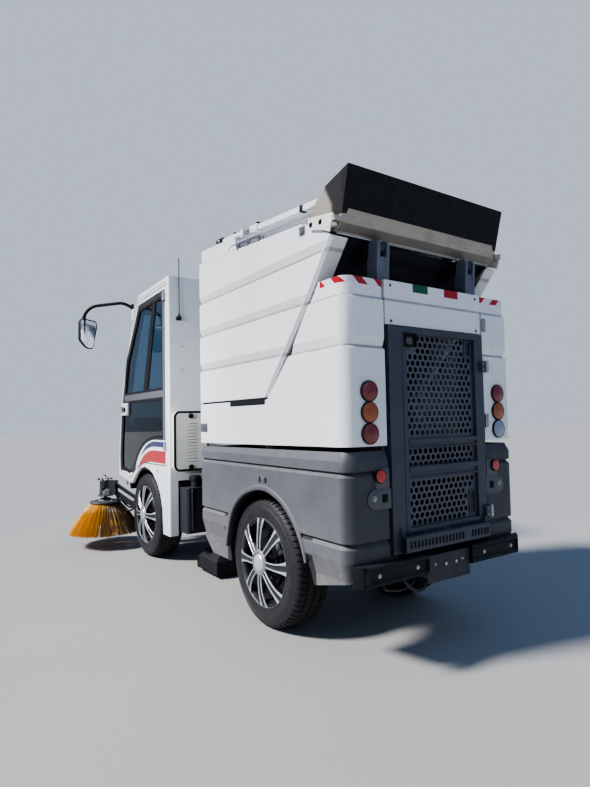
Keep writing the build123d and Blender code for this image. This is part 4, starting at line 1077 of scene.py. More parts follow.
# =====================================================================
# rear door: perforated sheet, ledges, lock, handle pockets, step and hinges
# =====================================================================
def perforated(y0, y1, z0, z1, pitch, row, r, x0, x1, solid, n=14):
    """sheet with staggered round holes; solid(y, z) says where a hole is left out"""
    verts, faces = [], []

    def quad(a, b, c, d, x):
        k = len(verts)
        verts.extend([P(x, *a), P(x, *b), P(x, *c), P(x, *d)])
        faces.append([k, k + 1, k + 2, k + 3])

    rows = int((z1 - z0) // row)
    gap = ((z1 - z0) - rows * row) / 2
    for x in (x0, x1):
        quad((y0, z0), (y1, z0), (y1, z0 + gap), (y0, z0 + gap), x)
        quad((y0, z1 - gap), (y1, z1 - gap), (y1, z1), (y0, z1), x)
    cols = int((y1 - y0 - pitch / 2) // pitch)
    edge = ((y1 - y0) - (cols + 0.5) * pitch) / 2
    for i in range(rows):
        za, zb = z0 + gap + i * row, z0 + gap + (i + 1) * row
        start = y0 + edge + (pitch / 2 if i % 2 else 0)
        stop = start + cols * pitch
        for x in (x0, x1):
            quad((y0, za), (start, za), (start, zb), (y0, zb), x)
            quad((stop, za), (y1, za), (y1, zb), (stop, zb), x)
        for j in range(cols):
            ya, yb = start + j * pitch, start + (j + 1) * pitch
            cy, cz = (ya + yb) / 2, (za + zb) / 2
            if solid(cy, cz):
                for x in (x0, x1):
                    quad((ya, za), (yb, za), (yb, zb), (ya, zb), x)
                continue
            # the cell's corners at odd places of a 16 point ring
            ring = []
            for k in range(16):
                a = 2 * math.pi * k / 16
                ca, sa = math.cos(a), math.sin(a)
                m = 1 / max(abs(ca) / (pitch / 2), abs(sa) / (row / 2))
                o = (ca * m, sa * m)
                if k in (2, 6, 10, 14):
                    o = (math.copysign(pitch / 2, ca), math.copysign(row / 2, sa))
                ring.append((o, (ca * r, sa * r)))
            k = len(verts)
            for o, h in ring:
                verts.append(P(x0, cy + o[0], cz + o[1]))
                verts.append(P(x0, cy + h[0], cz + h[1]))
                verts.append(P(x1, cy + h[0], cz + h[1]))
                verts.append(P(x1, cy + o[0], cz + o[1]))
            for q in range(16):
                w = (q + 1) % 16
                faces.append([k + q * 4, k + w * 4, k + w * 4 + 1, k + q * 4 + 1])
                faces.append([k + q * 4 + 1, k + w * 4 + 1, k + w * 4 + 2, k + q * 4 + 2])
                faces.append([k + q * 4 + 2, k + w * 4 + 2, k + w * 4 + 3, k + q * 4 + 3])
    for a, b in (((y0, z0), (y1, z0)), ((y1, z0), (y1, z1)), ((y1, z1), (y0, z1)), ((y0, z1), (y0, z0))):
        k = len(verts)
        verts.extend([P(x0, *a), P(x0, *b), P(x1, *b), P(x1, *a)])
        faces.append([k, k + 1, k + 2, k + 3])
    return verts, faces


def no_hole(y, z):
    if abs(z - 880) < 24 or abs(z - 764) < 28:
        return True
    if y > 118 and z > 1262:
        return True
    if y < -180 and (z > 1246 or 545 < z < 672):
        return True
    return False


sheet = Piece("rear_grille_sheet", "rear_door", mesh_grey, "grille_mesh")
sheet.add(perforated(-240, 197, 540, 1340, 31.2, 26.6, 11.3, 10.5, 13.5, no_hole))
sheet.make(angle=30, replaces=("rear_grille",))

door = Piece("rear_door_fittings", "rear_door", [door_grey, black, latch_grey, zinc], "dark_grey_paint")
# two pressed ledges across the sheet
for z0, z1 in ((861, 893), (738, 788)):
    door.add(prism([P(13, -240, z1 + 4), P(-11, -240, z1), P(-11, -240, z1 - 7), P(-1, -240, z1 - 10), P(-1, -240, z0 + 9),
                    P(-8, -240, z0 + 4), P(-8, -240, z0), P(13, -240, z0 - 4)], Vector((0, 0.437, 0)), 1.2))
# stamped stiffening along the wide margin
door.add(block((-10.5, -8), (214, 222), (470, 1330), 1.0))
# lock box: raised frame round a recessed pull
for y, z in (((140, 147), (1284, 1342)), ((206, 213), (1284, 1342)), ((147, 206), (1284, 1290)), ((147, 206), (1336, 1342))):
    door.add(block((-15, -6), y, z, 1.2), 1)
door.add(block((-9, -5), (146, 207), (1289, 1337), 0.5), 1)
door.add(block((-14, -8), (166, 200), (1294, 1322), 1.5), 2)
door.add(block((-17, -13), (172, 194), (1300, 1305), 1.0), 2)
# handle pockets by the hinge side
for z0, z1, y0, y1 in ((1256, 1338, -236, -186), (552, 662, -236, -190)):
    door.add(block((5, 10.6), (y0, y1), (z0, z1), 1.5))
    for y in ((y0 + 10, y0 + 14), (y1 - 14, y1 - 10)):
        door.add(block((1, 7), y, (z0 + 8, z1 - 8), 1.0))
    door.add(block((3.5, 6), (y0 + 13, y1 - 13), (z0 + 10, z1 - 10), 0.8), 1)
# step: front lip with square holes, tread plate with slots, end cheeks
step_holes = [y for y in range(-246, 250, 21)]


def wall_with_squares(piece, x0, x1, y0, y1, z0, z1, cuts, hw, za, zb, mat=0):
    """upright plate from x0 to x1 with square holes centred at cuts"""
    edges = [y0]
    for c in cuts:
        edges += [c - hw, c + hw]
    edges.append(y1)
    piece.add(block((x0, x1), (y0, y1), (z0, za), 0.6), mat)
    piece.add(block((x0, x1), (y0, y1), (zb, z1), 0.6), mat)
    for a, b in zip(edges[::2], edges[1::2]):
        piece.add(block((x0, x1), (a, b), (za - 0.8, zb + 0.8), 0.3), mat)


wall_with_squares(door, -44.4, -41.4, -262, 262, 455, 509, step_holes[:6] + step_holes[8:], 6.5, 468, 496)
# painted shade: a black plate behind the square holes
door.add(block((-41.4, -40.2), (-258, 258), (460, 505), 0.3), 1)
door.add(prism([P(-44.4, -262, 509), P(-8, -262, 519), P(-8, -262, 523), P(-44.4, -262, 513)], Vector((0, 0.524, 0)), 0.8))
# painted shade: the tread plate's slots are black strips on the plate
for y in range(-230, 240, 38):
    if -40 < y < 20:
        continue
    for x in (-34, -22):
        z = 513 + (x + 44.4) * 0.275
        door.add(prism([P(x, y - 13, z + 1.2), P(x + 7, y - 13, z + 3.1), P(x + 7, y + 13, z + 3.1), P(x, y + 13, z + 1.2)],
                       Vector((0, 0, 0.0006)), 0.2), 1)
for y in (-262, 258):
    door.add(side_plate([(-8, 560), (-8, 455), (-44, 455), (-44, 512), (-24, 520)], y, y + 4, 0.8))
# hinges
for z in (560, 1220):
    door.add(rod(P(-18, -312, z - 27), P(-18, -312, z + 27), 10.5, 20), 3)
    for dz in (-14, 14):
        door.add(screw(P(-24, -284, z + dz), (-1, 0, 0), 4.5), 3)
door.make()

hinge = Piece("rear_column_hinges", "chassis", [zinc, door_grey, latch_grey], "dark_grey_paint")
for z0, z1 in ((938, 1000), (1385, 1447)):
    hinge.add(block((-4, 0.5), (-336, -314), (z0, z1), 1.2))
    hinge.add(rod(P(-7, -312, z0), P(-7, -312, z1), 5.5, 18))
    for z in (z0 + 12, z1 - 12):
        hinge.add(screw(P(-4, -327, z), (-1, 0, 0), 4.0))
# corner screws of the panel above the door
for y in (270, -270):
    for z in (1387, 1535):
        hinge.add(screw(P(2, y, z), (-1, 0, 0), 6.5, 3.0), 1)
hinge.make()

# =====================================================================
# rear lamps, reflectors, tow plates, bumper and plate bracket bolts
# =====================================================================
lamps = Piece("rear_lamps", "chassis", [black, lens_red, lens_amber, lens_clear, reflex_red, zinc, lens_white, chrome],
              "lens")
back = Vector((-1, 0, 0))
LAMPS = [(405, 1097, 1, 1), (405, 1014, 2, 2), (405, 930, 1, 3)]
for s in (1, -1):
    for y, z, left, right in LAMPS:
        c = P(0, y * s, z)
        lamps.add(turned([(37, 0), (42, 0), (42.4, 6), (41.9, 9.5), (41, 10.8), (40, 10.2), (39.4, 8), (37, 8)], c, back, 48, True))
        prof = [(0, 15.4)]
        for k in range(1, 12):
            r = k * 3.4
            prof.append((r, 15.4 - 4.6 * (r / 39) ** 2 + (0.45 if k % 2 else -0.1)))
        prof += [(39.6, 9.8), (39.6, 4), (0, 4)]
        lamps.add(turned(prof, c, back, 48), left if s > 0 else right)
    c = P(-14, 362 * s, 762)
    lamps.add(turned([(0, -14), (27.5, -14), (28, -2), (27, 0.5), (25.5, 1.5), (25, 0.5), (0, 0.5)], c, back, 40))
    lamps.add(turned([(0, 2.4), (12, 2.3), (20, 1.9), (24.6, 1.0), (24.6, -1), (0, -1)], c, back, 40), 4)
    # headlamps
    c = P(3020, 330 * s, 640)
    lamps.add(turned([(50, 8), (61.5, 8), (61.8, 24), (60, 29.5), (57, 30), (55, 27), (50, 18)], c, (1, 0, 0), 48, True), 7)
    prof = [(0, 27.5)] + [(k * 4.6, 27.5 - 5 * (k * 4.6 / 56) ** 2 + (0.3 if k % 2 else 0)) for k in range(1, 12)] + \
           [(55.5, 21), (55.5, 8), (0, 8)]
    lamps.add(turned(prof, c, (1, 0, 0), 48), 6)
lamps.make(angle=30, replaces=("lamps",))

tow = Piece("rear_tow_plates", "chassis", [plate_grey, zinc, black], "dark_grey_paint")
for s in (1, -1):
    # reflector carrier
    tow.add(back_plate([(308 * s, 706), (308 * s, 792), (372 * s, 792), (384 * s, 782), (384 * s, 718), (372 * s, 706)], -4, 1, 1.0))
    # tow plate with a rounded outer end
    pts = [(302 * s, 632), (302 * s, 712), (386 * s, 712)]
    for k in range(1, 8):
        a = math.pi / 2 - k * math.pi / 8
        pts.append(((386 + 40 * math.cos(a)) * s, 672 + 40 * math.sin(a)))
    pts.append((386 * s, 632))
    tow.add(back_plate(pts, -6, 1, 1.2))
    tow.add(bolt(P(-6, 392 * s, 676), back, 8, 5), 1)
    tow.add(block((-7.4, -5), sorted((322 * s, 352 * s)), (657, 690), 0.8), 2)
    tow.add(block((-9.5, -7), sorted((328 * s, 346 * s)), (663, 684), 0.8), 2)
tow.make()

bumper = Piece("rear_bumper_channels", "chassis", [bumper_black, chrome, bracket_dark, black], "frame_paint")
for s in (1, -1):
    ya, yb = sorted((135 * s, 514 * s))
    prof = [(-2, 351), (-40, 351), (-45, 356), (-45, 366), (-41, 368), (-36, 372), (-36, 409), (-41, 413), (-45, 415),
            (-45, 426), (-40, 431), (-2, 431), (-2, 425), (-30, 425), (-30, 357), (-2, 357)]
    for part in [side_plate(prof, ya, yb, 1.2)] + [side_plate([(-3, 352), (-42, 352), (-45, 358), (-45, 424), (-42, 430), (-3, 430)],
                                                              y, y + 3, 0.8) for y in (ya, yb - 3)]:
        # the outer end runs back at a slant
        for v in part[0]:
            if abs(v.y) > 0.5:
                v.y -= s * 1.14 * max(0.0, XR - 0.002 - v.x)
        bumper.add(part)
    for y in ((404, 196) if s > 0 else (-226, -420)):
        bumper.add(bolt(P(-36, y, 388), back, 5.5, 3.5), 1)
    # arms to the chassis
    bumper.add(block((-30, 28), sorted((196 * s, 204 * s)), (362, 420), 1.0), 0)
    bumper.add(block((-30, 28), sorted((396 * s, 404 * s)), (362, 420), 1.0), 0)
# plate bracket
bumper.add(block((-30, -26), (-133, 133), (306, 420), 2.0), 2)
bumper.add(block((-26, 26), (-133, -129), (330, 416), 1.0), 2).add(block((-26, 26), (129, 133), (330, 416), 1.0), 2)
for y in (-44, 20):
    bumper.add(screw(P(-30, y, 374), back, 8.0, 4.0), 1)
for y in (-85, 85):
    bumper.add(turned([(3.25, 0.2), (5.2, 0.2), (5.2, -0.8), (3.25, -0.8)], P(-30, y, 380), back, 24, True), 1)
    bumper.add(turned([(0, -3.8), (3.25, -3.8), (3.25, -1.0), (0, -1.0)], P(-30, y, 380), back, 24), 3)
bumper.make(replaces=("rear_bumper",))

# black hose loops under the left half of the bumper
hoses = Piece("rear_hoses", "chassis", [hose_black, zinc], "black_hose")
hoses.add(tube(flow([P(60, 250, 400), P(10, 250, 360), P(-20, 235, 318), P(-28, 190, 292), P(-20, 140, 300), P(10, 118, 345),
                     P(60, 110, 395)]), 6.5, 12))
hoses.add(tube(flow([P(80, 330, 396), P(20, 336, 350), P(-6, 350, 322), P(0, 300, 306), P(6, 225, 300), P(20, 160, 325),
                     P(70, 150, 390)]), 5.0, 12))
hoses.add(tube(flow([P(110, 380, 398), P(60, 400, 360), P(40, 330, 335), P(50, 240, 330), P(90, 190, 388)]), 8.0, 12))
hoses.make()

# =====================================================================
# hood, hopper and roof fittings
# =====================================================================
hood = Piece("hood_bolts", "hood", [black, zinc, hood_steel, chrome], "stainless")
for s in (1, -1):
    for x, z in ((119, 1785), (183, 1792)):
        hood.add(bolt(P(x, 534.5 * s, z), (0, s, 0), 7.5, 4.5))
hood.add(block((84, 98), (-478, 478), (1738.5, 1741.5), 0.8), 3)
hood.make()

roof = Piece("hopper_roof_fittings", "hopper", [white, black, latch_grey, zinc, post_grey], "white_paint")


def roof_z(x):
    return 1912 + (x - 287) * 0.0733


def fold_z(x):
    return 1827 + (x - 287) * 0.0802


for s in (1, -1):
    # dark fold line between the side panel and the roof
    roof.add(prism([P(290, 503 * s, fold_z(290) + 8.2), P(1308, 503 * s, fold_z(1308) + 8.2), P(1308, 503 * s, fold_z(1308) + 11),
                    P(290, 503 * s, fold_z(290) + 11)], Vector((0, 0.004 * s, 0)), 0.4), 2)
    # clevis feet and the pins
    roof.add(block((1082, 1182), sorted((430 * s, 494 * s)), (roof_z(1130) - 72, roof_z(1130) - 58), 3.0), 2)
    roof.add(rod(P(1130, 429 * s, 1995), P(1130, 499 * s, 1995), 9.5, 20), 3)
    for y in (431.5, 492.5):
        roof.add(turned([(0, 0), (9, 0), (10, 2), (10, 6), (0, 7)], P(1130, y * s, 1995), (0, s if y > 460 else -s, 0), 20), 1)
    # grey guide rail along the outer side of the trough
    pts = [P(975, 502 * s, fold_z(975) + 22), P(940, 502 * s, fold_z(940) + 38), P(640, 502 * s, fold_z(640) + 38),
           P(618, 502 * s, fold_z(618) + 20)]
    for q, r in zip(pts, pts[1:]):
        roof.add(tube([q, r], 6.0, 12), 4)
    for x in (655, 760, 865):
        roof.add(block((x - 9, x + 9), sorted((497 * s, 507 * s)), (fold_z(x) + 4, fold_z(x) + 40), 1.0), 4)
        roof.add(screw(P(x, 507 * s, fold_z(x) + 24), (0, s, 0), 4.5), 1)
    # small latch at the top of the side panel
    roof.add(block((240, 280), sorted((523 * s, 527 * s)), (1773, 1812), 2.0), 4)
    roof.add(block((246, 262), sorted((526.5 * s, 532 * s)), (1778, 1808), 2.0), 2)
    for z in (1780, 1804):
        roof.add(screw(P(272, 527 * s, z), (0, s, 0), 3.0), 1)
    # finger recess: a black block as painted shade in the slot under the panel
    roof.add(block((582, 944), sorted((508 * s, 524 * s)), (1088.5, 1098), 1.0), 1)
roof.make()

side = Piece("cover_fittings", "chassis", [black, latch_grey, skirt, zinc, light_box], "skirt_plastic")
for s in (1, -1):
    # painted shade: a black strip in the finger recess under the hopper's panel
    side.add(block((590, 944), sorted((519 * s, 523.6 * s)), (1064, 1088.4), 1.2))
    side.add(block((1222, 1306), sorted((520 * s, 527 * s)), (931, 979), 3.5), 1)
    side.add(block((1236, 1292), sorted((527 * s, 529 * s)), (943, 967), 1.5), 1)
    # framed marker above the rear arch
    side.add(block((588, 656), sorted((520 * s, 524.5 * s)), (697, 727), 1.0), 2)
    for x in ((590, 600), (642, 653)):
        side.add(block(x, sorted((523 * s, 527.5 * s)), (699, 725), 1.2))
    side.add(block((606, 636), sorted((524 * s, 525.5 * s)), (704, 720), 1.0), 2)
    # painted shade: a black strip standing in for the shadow in the gap under the hopper's panel
    side.add(block((944, 1300), sorted((500 * s, 509 * s)), (1086, 1098), 0.5))
side.make()

barrel = Piece("hood_barrel_fittings", "hood_barrels", [white, black, zinc], "white_paint")
RUN = Vector((-950, 0, -83)).normalized()


def along(t, y, up=0.0):
    return P(1130, y, 1995) + RUN * (t / 1000) + Vector((0.087, 0, -0.996)) * (-up / 1000)


def cuff(t0, t1, y, hw, hh, r=2.0, up=0.0):
    """square block round the cylinder from t0 to t1"""
    k = Vector((0.0872, 0, -0.9962)) * -1
    pts = [along(t0, y + a * hw, up) + k * (b * hh / 1000) for a, b in ((-1, -1), (1, -1), (1, 1), (-1, 1))]
    return prism(pts, RUN * ((t1 - t0) / 1000), r)


for s in (1, -1):
    barrel.add(cuff(-15, 46, 462 * s, 20.5, 21.5, 3.0, 1.0), 1)
    barrel.add(cuff(252, 276, 462 * s, 21.5, 21.5, 2.5))
    barrel.add(rod(along(150, 462 * s, 19), along(150, 462 * s, 30), 7, 16), 1)
    barrel.add(rod(along(236, 462 * s, 19), along(236, 462 * s, 33), 8, 16), 2)
barrel.make()
lever = Piece("hood_lever_fittings", "hood_rods", [white, black, zinc], "white_paint")
for s in (1, -1):
    lever.add(cuff(345, 420, 462 * s, 19, 19, 3.0))
    lever.add(turned([(0, 0), (9, 0), (11, 3), (11, 11), (8, 14), (0, 15)], along(398, 462 * s, 18), Vector((-0.087, 0, 0.996)), 20), 1)
    lever.add(cuff(786, 812, 462 * s, 15, 15, 2.0), 1)
    lever.add(rod(along(800, 452 * s, 15), along(800, 452 * s, 24), 6, 16), 1)
lever.make()

# black rubber strip along the slanted edge of each rear cover
strip = Piece("cover_edge_strips", "chassis", rubber, "black_plastic")
for s in (1, -1):
    strip.add(side_plate([(196, 1552), (160, 1552), (355, 1286), (562, 1078), (578, 1088), (570, 1092), (402, 1287), (246, 1461)],
                         498 * s, 506 * s, 1.0))
strip.make()

# raised lip round the rear wheel arches
ARCH = [(1000, 336), (992, 376), (981, 412), (964, 463), (941, 511), (910, 551), (868, 587), (828, 612), (777, 634), (723, 650),
        (670, 659), (620, 661), (575, 655), (524, 641), (490, 628), (452, 609), (402, 570), (353, 519), (316, 461), (292, 405),
        (287, 392)]
lips = Piece("arch_lips", "chassis", skirt, "skirt_plastic")
for s in (1, -1):
    loops = []
    line = flow([P(x, 0, z) for x, z in ARCH], 18)
    for i, p in enumerate(line):
        t = (line[min(i + 1, len(line) - 1)] - line[max(i - 1, 0)]).normalized()
        nrm = Vector((-t.z, 0, t.x))
        if nrm.dot(p - P(650, 0, 307)) < 0:
            nrm = -nrm
        w = min(1.0, 0.35 + 0.65 * (len(line) - 1 - i) / 10)

        def q(d, y):
            return p + nrm * (d * w / 1000) + Vector((0, y * s / 1000, 0))

        loops.append([q(-1, 500), q(-1, 525.5), q(2, 528.6), q(8, 529.6), q(18, 529.4), q(23, 527.5), q(26, 521), q(26, 515)])
    lips.add(loft(loops))
lips.make(angle=50)

# =====================================================================
# cab
# =====================================================================
cab = Piece("cab_fittings", "chassis", [cab_paint, black, latch_grey, rubber, zinc, cream, white], "white_paint")
for s in (1, -1):
    # drip rail: two ridges along the roof edge and down the front pillar
    for d, w in ((10, 5), (30, 4)):
        pts = [P(1890, 501 * s, 1918 + d), P(2476, 501 * s, 1904 + d), P(2512 + d * 0.7, 501 * s, 1876 + d * 0.6),
               P(2640 + d * 0.8, 501 * s, 1706 + d * 0.4)]
        cab.add(tube(bend(pts, 60), w, 10))
    # rivets of the rear wall
    for z in (1503, 1345):
        cab.add(turned([(0, 1.8), (3.5, 1.4), (5.5, 0), (0, 0)], P(1862, 404 * s, z), (-1, 0, 0), 16), 2)
    # upright seam strip at the rear corner
    cab.add(block((1885, 1890), sorted((500 * s, 502.5 * s)), (700, 1950), 0.8))
    # small round cap on the lower rear quarter
    cab.add(turned([(0, 3), (7, 2.6), (9, 0), (0, 0)], P(2085, 500 * s, 652), (0, s, 0), 20), 2)
    # indicator on the front corner
    cab.add(turned([(0, 6), (14, 5), (19, 2), (20, 0), (0, 0)], P(2760, 500 * s, 520), (0, s, 0), 24), 2)
cab.make()

cover = Piece("rear_cover_trim", "chassis", [rubber, cream, black, plate_grey], "cream_plastic")
# rubber tube round the cover
y0, y1, z0, z1, rr = 244, 478, 671, 1055, 34
pts = []
for cy, cz, a0 in ((y1 - rr, z1 - rr, 0), (y0 + rr, z1 - rr, 90), (y0 + rr, z0 + rr, 180), (y1 - rr, z0 + rr, 270)):
    for k in range(9):
        a = math.radians(a0 + k * 90 / 8)
        pts.append(P(1820, cy + rr * math.cos(a), cz + rr * math.sin(a)))
n = 12
loops = []
for i, p in enumerate(pts):
    a, b = pts[i - 1], pts[(i + 1) % len(pts)]
    t = (b - a).normalized()
    u = Vector((1, 0, 0))
    v = t.cross(u)
    loops.append([p + (u * math.cos(2 * math.pi * k / n) + v * math.sin(2 * math.pi * k / n)) * 0.0085 for k in range(n)])
cover.add(loft(loops, closed=True))
# ridges across the cover, each with a thin dark strip under it as painted shadow
for k in range(13):
    z = 730 + k * 21
    cover.add(block((1809.5, 1816), (326, 400), (z - 3.2, z + 3.2), 2.4), 1)
    cover.add(block((1811.5, 1816), (328, 398), (z - 5.0, z - 2.6), 0.5), 3)
for z in (1030, 690):
    cover.add(turned([(0, 20), (12, 19), (17, 15), (17, 7), (13, 5), (13, 0), (0, 0)], P(1816, 370, z), back, 24), 2)
cover.make()

tank = Piece("tank_trim", "chassis", [tank_black, black, hose_black, zinc], "black_plastic")
tank.add(tube([P(1722, 400, 290), P(1719, 400, 300), P(1719, 400, 540), P(1722, 400, 552)], 9, 14))
tank.add(tube([P(1722, 292, 290), P(1719, 292, 300), P(1719, 292, 540), P(1722, 292, 552)], 9, 14))
tank.add(turned([(0, 636), (30, 636), (37, 630), (39, 622), (39, 602), (36, 598), (0, 598)], P(1786, 352, 0), (0, 0, 1), 20,
                wave=lambda i, k: 1.6 if i % 2 and k in (2, 3, 4) else 0), 1)
tank.add(tube(flow([P(1800, 270, 560), P(1806, 250, 640), P(1800, 200, 690), P(1830, 150, 640), P(1850, 120, 520)]), 9, 12), 2)
tank.add(tube(flow([P(1760, 285, 560), P(1768, 262, 620), P(1790, 225, 650), P(1840, 190, 560), P(1850, 180, 470)]), 6, 12), 2)
tank.make()

ant = Piece("antenna_base", "chassis", black, "black_plastic")
ant.add(turned([(0, -16), (10, -15), (15, -10), (17, 0), (14, 8), (8, 14), (5, 26), (3.4, 40), (0, 41)], P(1846, 430, 1691),
               (0, 0, 1), 24))
ant.add(rod(P(1848, 430, 1691), P(1862, 430, 1691), 9, 20))
ant.make()

# ---- doors: rubber round the panes, divider bar, lock box, grab handle ----
UPPER = [(1978, 1212), (1978, 1862), (2458, 1850), (2738, 1488), (2832, 1212)]
LOWER = [(1978, 1164), (2848, 1164), (2876, 1080), (2920, 727), (2911, 620), (2700, 592), (2600, 660),
         (2480, 770), (2380, 830), (2250, 866), (2100, 880), (1978, 882)]


def inset(poly, d):
    """polygon with its sides moved inwards by d"""
    area = sum(a[0] * b[1] - b[0] * a[1] for a, b in zip(poly, poly[1:] + poly[:1])) / 2
    sgn = 1 if area > 0 else -1
    out = []
    for i in range(len(poly)):
        a, b, c = Vector(poly[i - 1]), Vector(poly[i]), Vector(poly[(i + 1) % len(poly)])
        d1, d2 = (b - a).normalized(), (c - b).normalized()
        n1, n2 = Vector((-d1.y, d1.x)) * sgn, Vector((-d2.y, d2.x)) * sgn
        m = (n1 + n2)
        m = m * (d / max(0.3, (1 + n1.dot(n2))))
        out.append((b.x + m.x, b.y + m.y))
    return out


def ring_plate(poly, wide, y0, y1):
    """flat frame along the inside of a polygon"""
    inner = inset(poly, wide)
    verts, faces = [], []
    n = len(poly)
    for (x, z), (xi, zi) in zip(poly, inner):
        verts += [P(x, y0, z), P(x, y1, z), P(xi, y1, zi), P(xi, y0, zi)]
    for i in range(n):
        j = (i + 1) % n
        for k in range(4):
            m = (k + 1) % 4
            faces.append([i * 4 + k, j * 4 + k, j * 4 + m, i * 4 + m])
    return verts, faces


for side_name, s in (("left", 1), ("right", -1)):
    body = side_name + "_door"
    d = Piece(side_name + "_door_trim", body, [rubber, black, light_box, latch_grey, zinc, cab_paint], "black_plastic")
    for poly, wide in ((UPPER, 16), (LOWER, 18)):
        d.add(ring_plate(poly, wide, 493 * s, 499 * s))
        d.add(ring_plate(inset(poly, -1), wide + 5, 481 * s, 486.6 * s))
    # sloping divider of the sliding pane, and the pane's lower channel
    d.add(side_plate([(2108, 1858), (2182, 1857), (2394, 1213), (2300, 1213)], 484 * s, 497 * s, 1.5), 1)
    d.add(block((1994, 2300), sorted((492.6 * s, 496 * s)), (1213, 1232), 1.0), 1)
    # lock box with its round knob
    d.add(side_plate([(2724, 1052), (2724, 1150), (2880, 1150), (2896, 1096), (2902, 1052)], 496 * s, 512 * s, 3.0), 2)
    d.add(turned([(0, 12), (15, 11), (19, 7), (20, 0), (0, 0)], P(2790, 511 * s, 1097), (0, s, 0), 28), 1)
    d.add(block((2836, 2876), sorted((511 * s, 516 * s)), (1074, 1124), 2.0), 3)
    # inner grab bar
    d.add(tube(bend([P(2030, 480 * s, 1190), P(2030, 440 * s, 1190), P(2400, 440 * s, 1190), P(2400, 480 * s, 1190)], 24), 10, 12), 1)
    # hinge straps
    for z in (830, 1850):
        d.add(rod(P(1928, 508 * s, z - 30), P(1928, 508 * s, z + 30), 9.5, 18), 4)
        d.add(block((1932, 1976), sorted((499 * s, 504 * s)), (z - 22, z + 22), 1.5), 4)
        for dz in (-10, 10):
            d.add(screw(P(1962, 504 * s, z + dz), (0, s, 0), 4.5), 4)
    d.make()

# ---- mirrors ----
mir = Piece("door_mirrors", "chassis", [black, mirror_glass, zinc, white], "black_plastic")
for s in (1, -1):
    arm = bend([P(2640, 490 * s, 1896), P(2672, 560 * s, 1938), P(2810, 760 * s, 1914), P(2850, 812 * s, 1854),
                P(2852, 812 * s, 1700)], 120)
    mir.add(tube(arm, 12.5, 16))
    mir.add(block((2618, 2662), sorted((488 * s, 503 * s)), (1884, 1926), 4.0))
    mir.add(block((2600, 2650), sorted((488 * s, 502 * s)), (1800, 1884), 4.0), 3)
    mir.add(rod(P(2851, 812 * s, 1800), P(2852, 812 * s, 1836), 15, 20))
    head = [(856, 1796), (856, 1650), (846, 1632), (800, 1590), (778, 1582), (750, 1583), (738, 1592), (700, 1748), (698, 1775),
            (702, 1802), (718, 1814), (830, 1818), (848, 1812)]

    toe = math.radians(25)

    def loop(x, shrink, dz=0):
        cy, cz = 778, 1700
        out = []
        for y, z in head:
            yy, xx = (cy + (y - cy) * shrink) - 812, x - 2856
            out.append(P(2856 + xx * math.cos(toe) - yy * math.sin(toe),
                         (812 + xx * math.sin(toe) + yy * math.cos(toe)) * s, cz + dz + (z - cz) * shrink))
        return out

    mir.add(loft([loop(2846, 0.93), loop(2840, 0.96), loop(2838, 0.985), loop(2841, 1.0), loop(2858, 0.985), loop(2874, 0.92),
                  loop(2883, 0.80), loop(2886, 0.62)]))
    mir.add(loft([loop(2844, 0.925), loop(2841.5, 0.925)]), 1)
mir.make(angle=45, replaces=("mirrors",))

# ---- cab inside ----
dash = Piece("dashboard_console", "chassis", [interior, black, rubber, latch_grey, lens_white, chrome], "black_plastic")
dash.add(side_plate([(2762, 602), (2940, 602), (2978, 760), (2958, 960), (2900, 1012), (2840, 1036), (2800, 1026), (2762, 996)],
                    -418, 418, 16, 4))
dash.add(prism([P(2768, -150, 1000), P(2768, 150, 1000), P(2768, 140, 1062), P(2768, -140, 1062)], Vector((0.09, 0, 0.01)), 10, 3), 1)
for y in (-80, 0, 80):
    dash.add(turned([(0, 2), (26, 2), (28, 4), (30, 3), (30, 0), (0, 0)], P(2768, y, 1034), back, 32), 3)
for k in range(6):
    dash.add(block((2756, 2762), (200 + k * 32, 222 + k * 32), (960, 985), 1.5), 1)
axis_w = Vector((-0.766, 0, 0.643))
hub = P(2820, 0, 960)
dash.add(rod(hub, hub + axis_w * 0.262, 27, 24, 2), 1)
wc = hub + axis_w * 0.272
u, v, w = axes(axis_w)
rim_pts = [wc + (u * math.cos(2 * math.pi * k / 56) + v * math.sin(2 * math.pi * k / 56)) * 0.182 for k in range(56)]
loops = []
for i, p in enumerate(rim_pts):
    e = (p - wc).normalized()
    loops.append([p + (e * math.cos(2 * math.pi * k / 14) + w * math.sin(2 * math.pi * k / 14)) * 0.0125 for k in range(14)])
dash.add(loft(loops, closed=True), 2)
dash.add(turned([(0, -10), (48, -10), (50, 0), (44, 8), (20, 12), (0, 12)], wc, axis_w, 32), 1)
for ang in (0.0, math.pi, math.pi * 1.5):
    e = u * math.cos(ang) + v * math.sin(ang)
    f = w.cross(e)
    dash.add(loft([[wc + e * (r / 1000) + f * (a * hw / 1000) + w * (b / 1000) for a, b in ((-1, -4), (1, -4), (1, 4), (-1, 4))]
                   for r, hw in ((38, 20), (110, 12), (176, 15))]), 1)
# levers and pedals
dash.add(tube([P(2790, 60, 985), P(2740, 150, 1075)], 5, 10), 1)
dash.add(turned([(0, 0), (10, 2), (13, 10), (9, 20), (0, 22)], P(2740, 150, 1072), (-0.4, 0.7, 0.6), 16), 1)
for y in (-120, -40, 60):
    dash.add(prism([P(2700, y - 28, 672), P(2700, y + 28, 672), P(2748, y + 28, 742), P(2748, y - 28, 742)], Vector((0.008, 0, -0.005)), 2), 2)
dash.make(replaces=("dashboard",))

# ---- windscreen: rubber, wiper ----
def fc(deg, dr=0.0):
    a = math.radians(deg)
    return 960 + (2083 + dr) * math.cos(a), 615 + (2083 + dr) * math.sin(a)


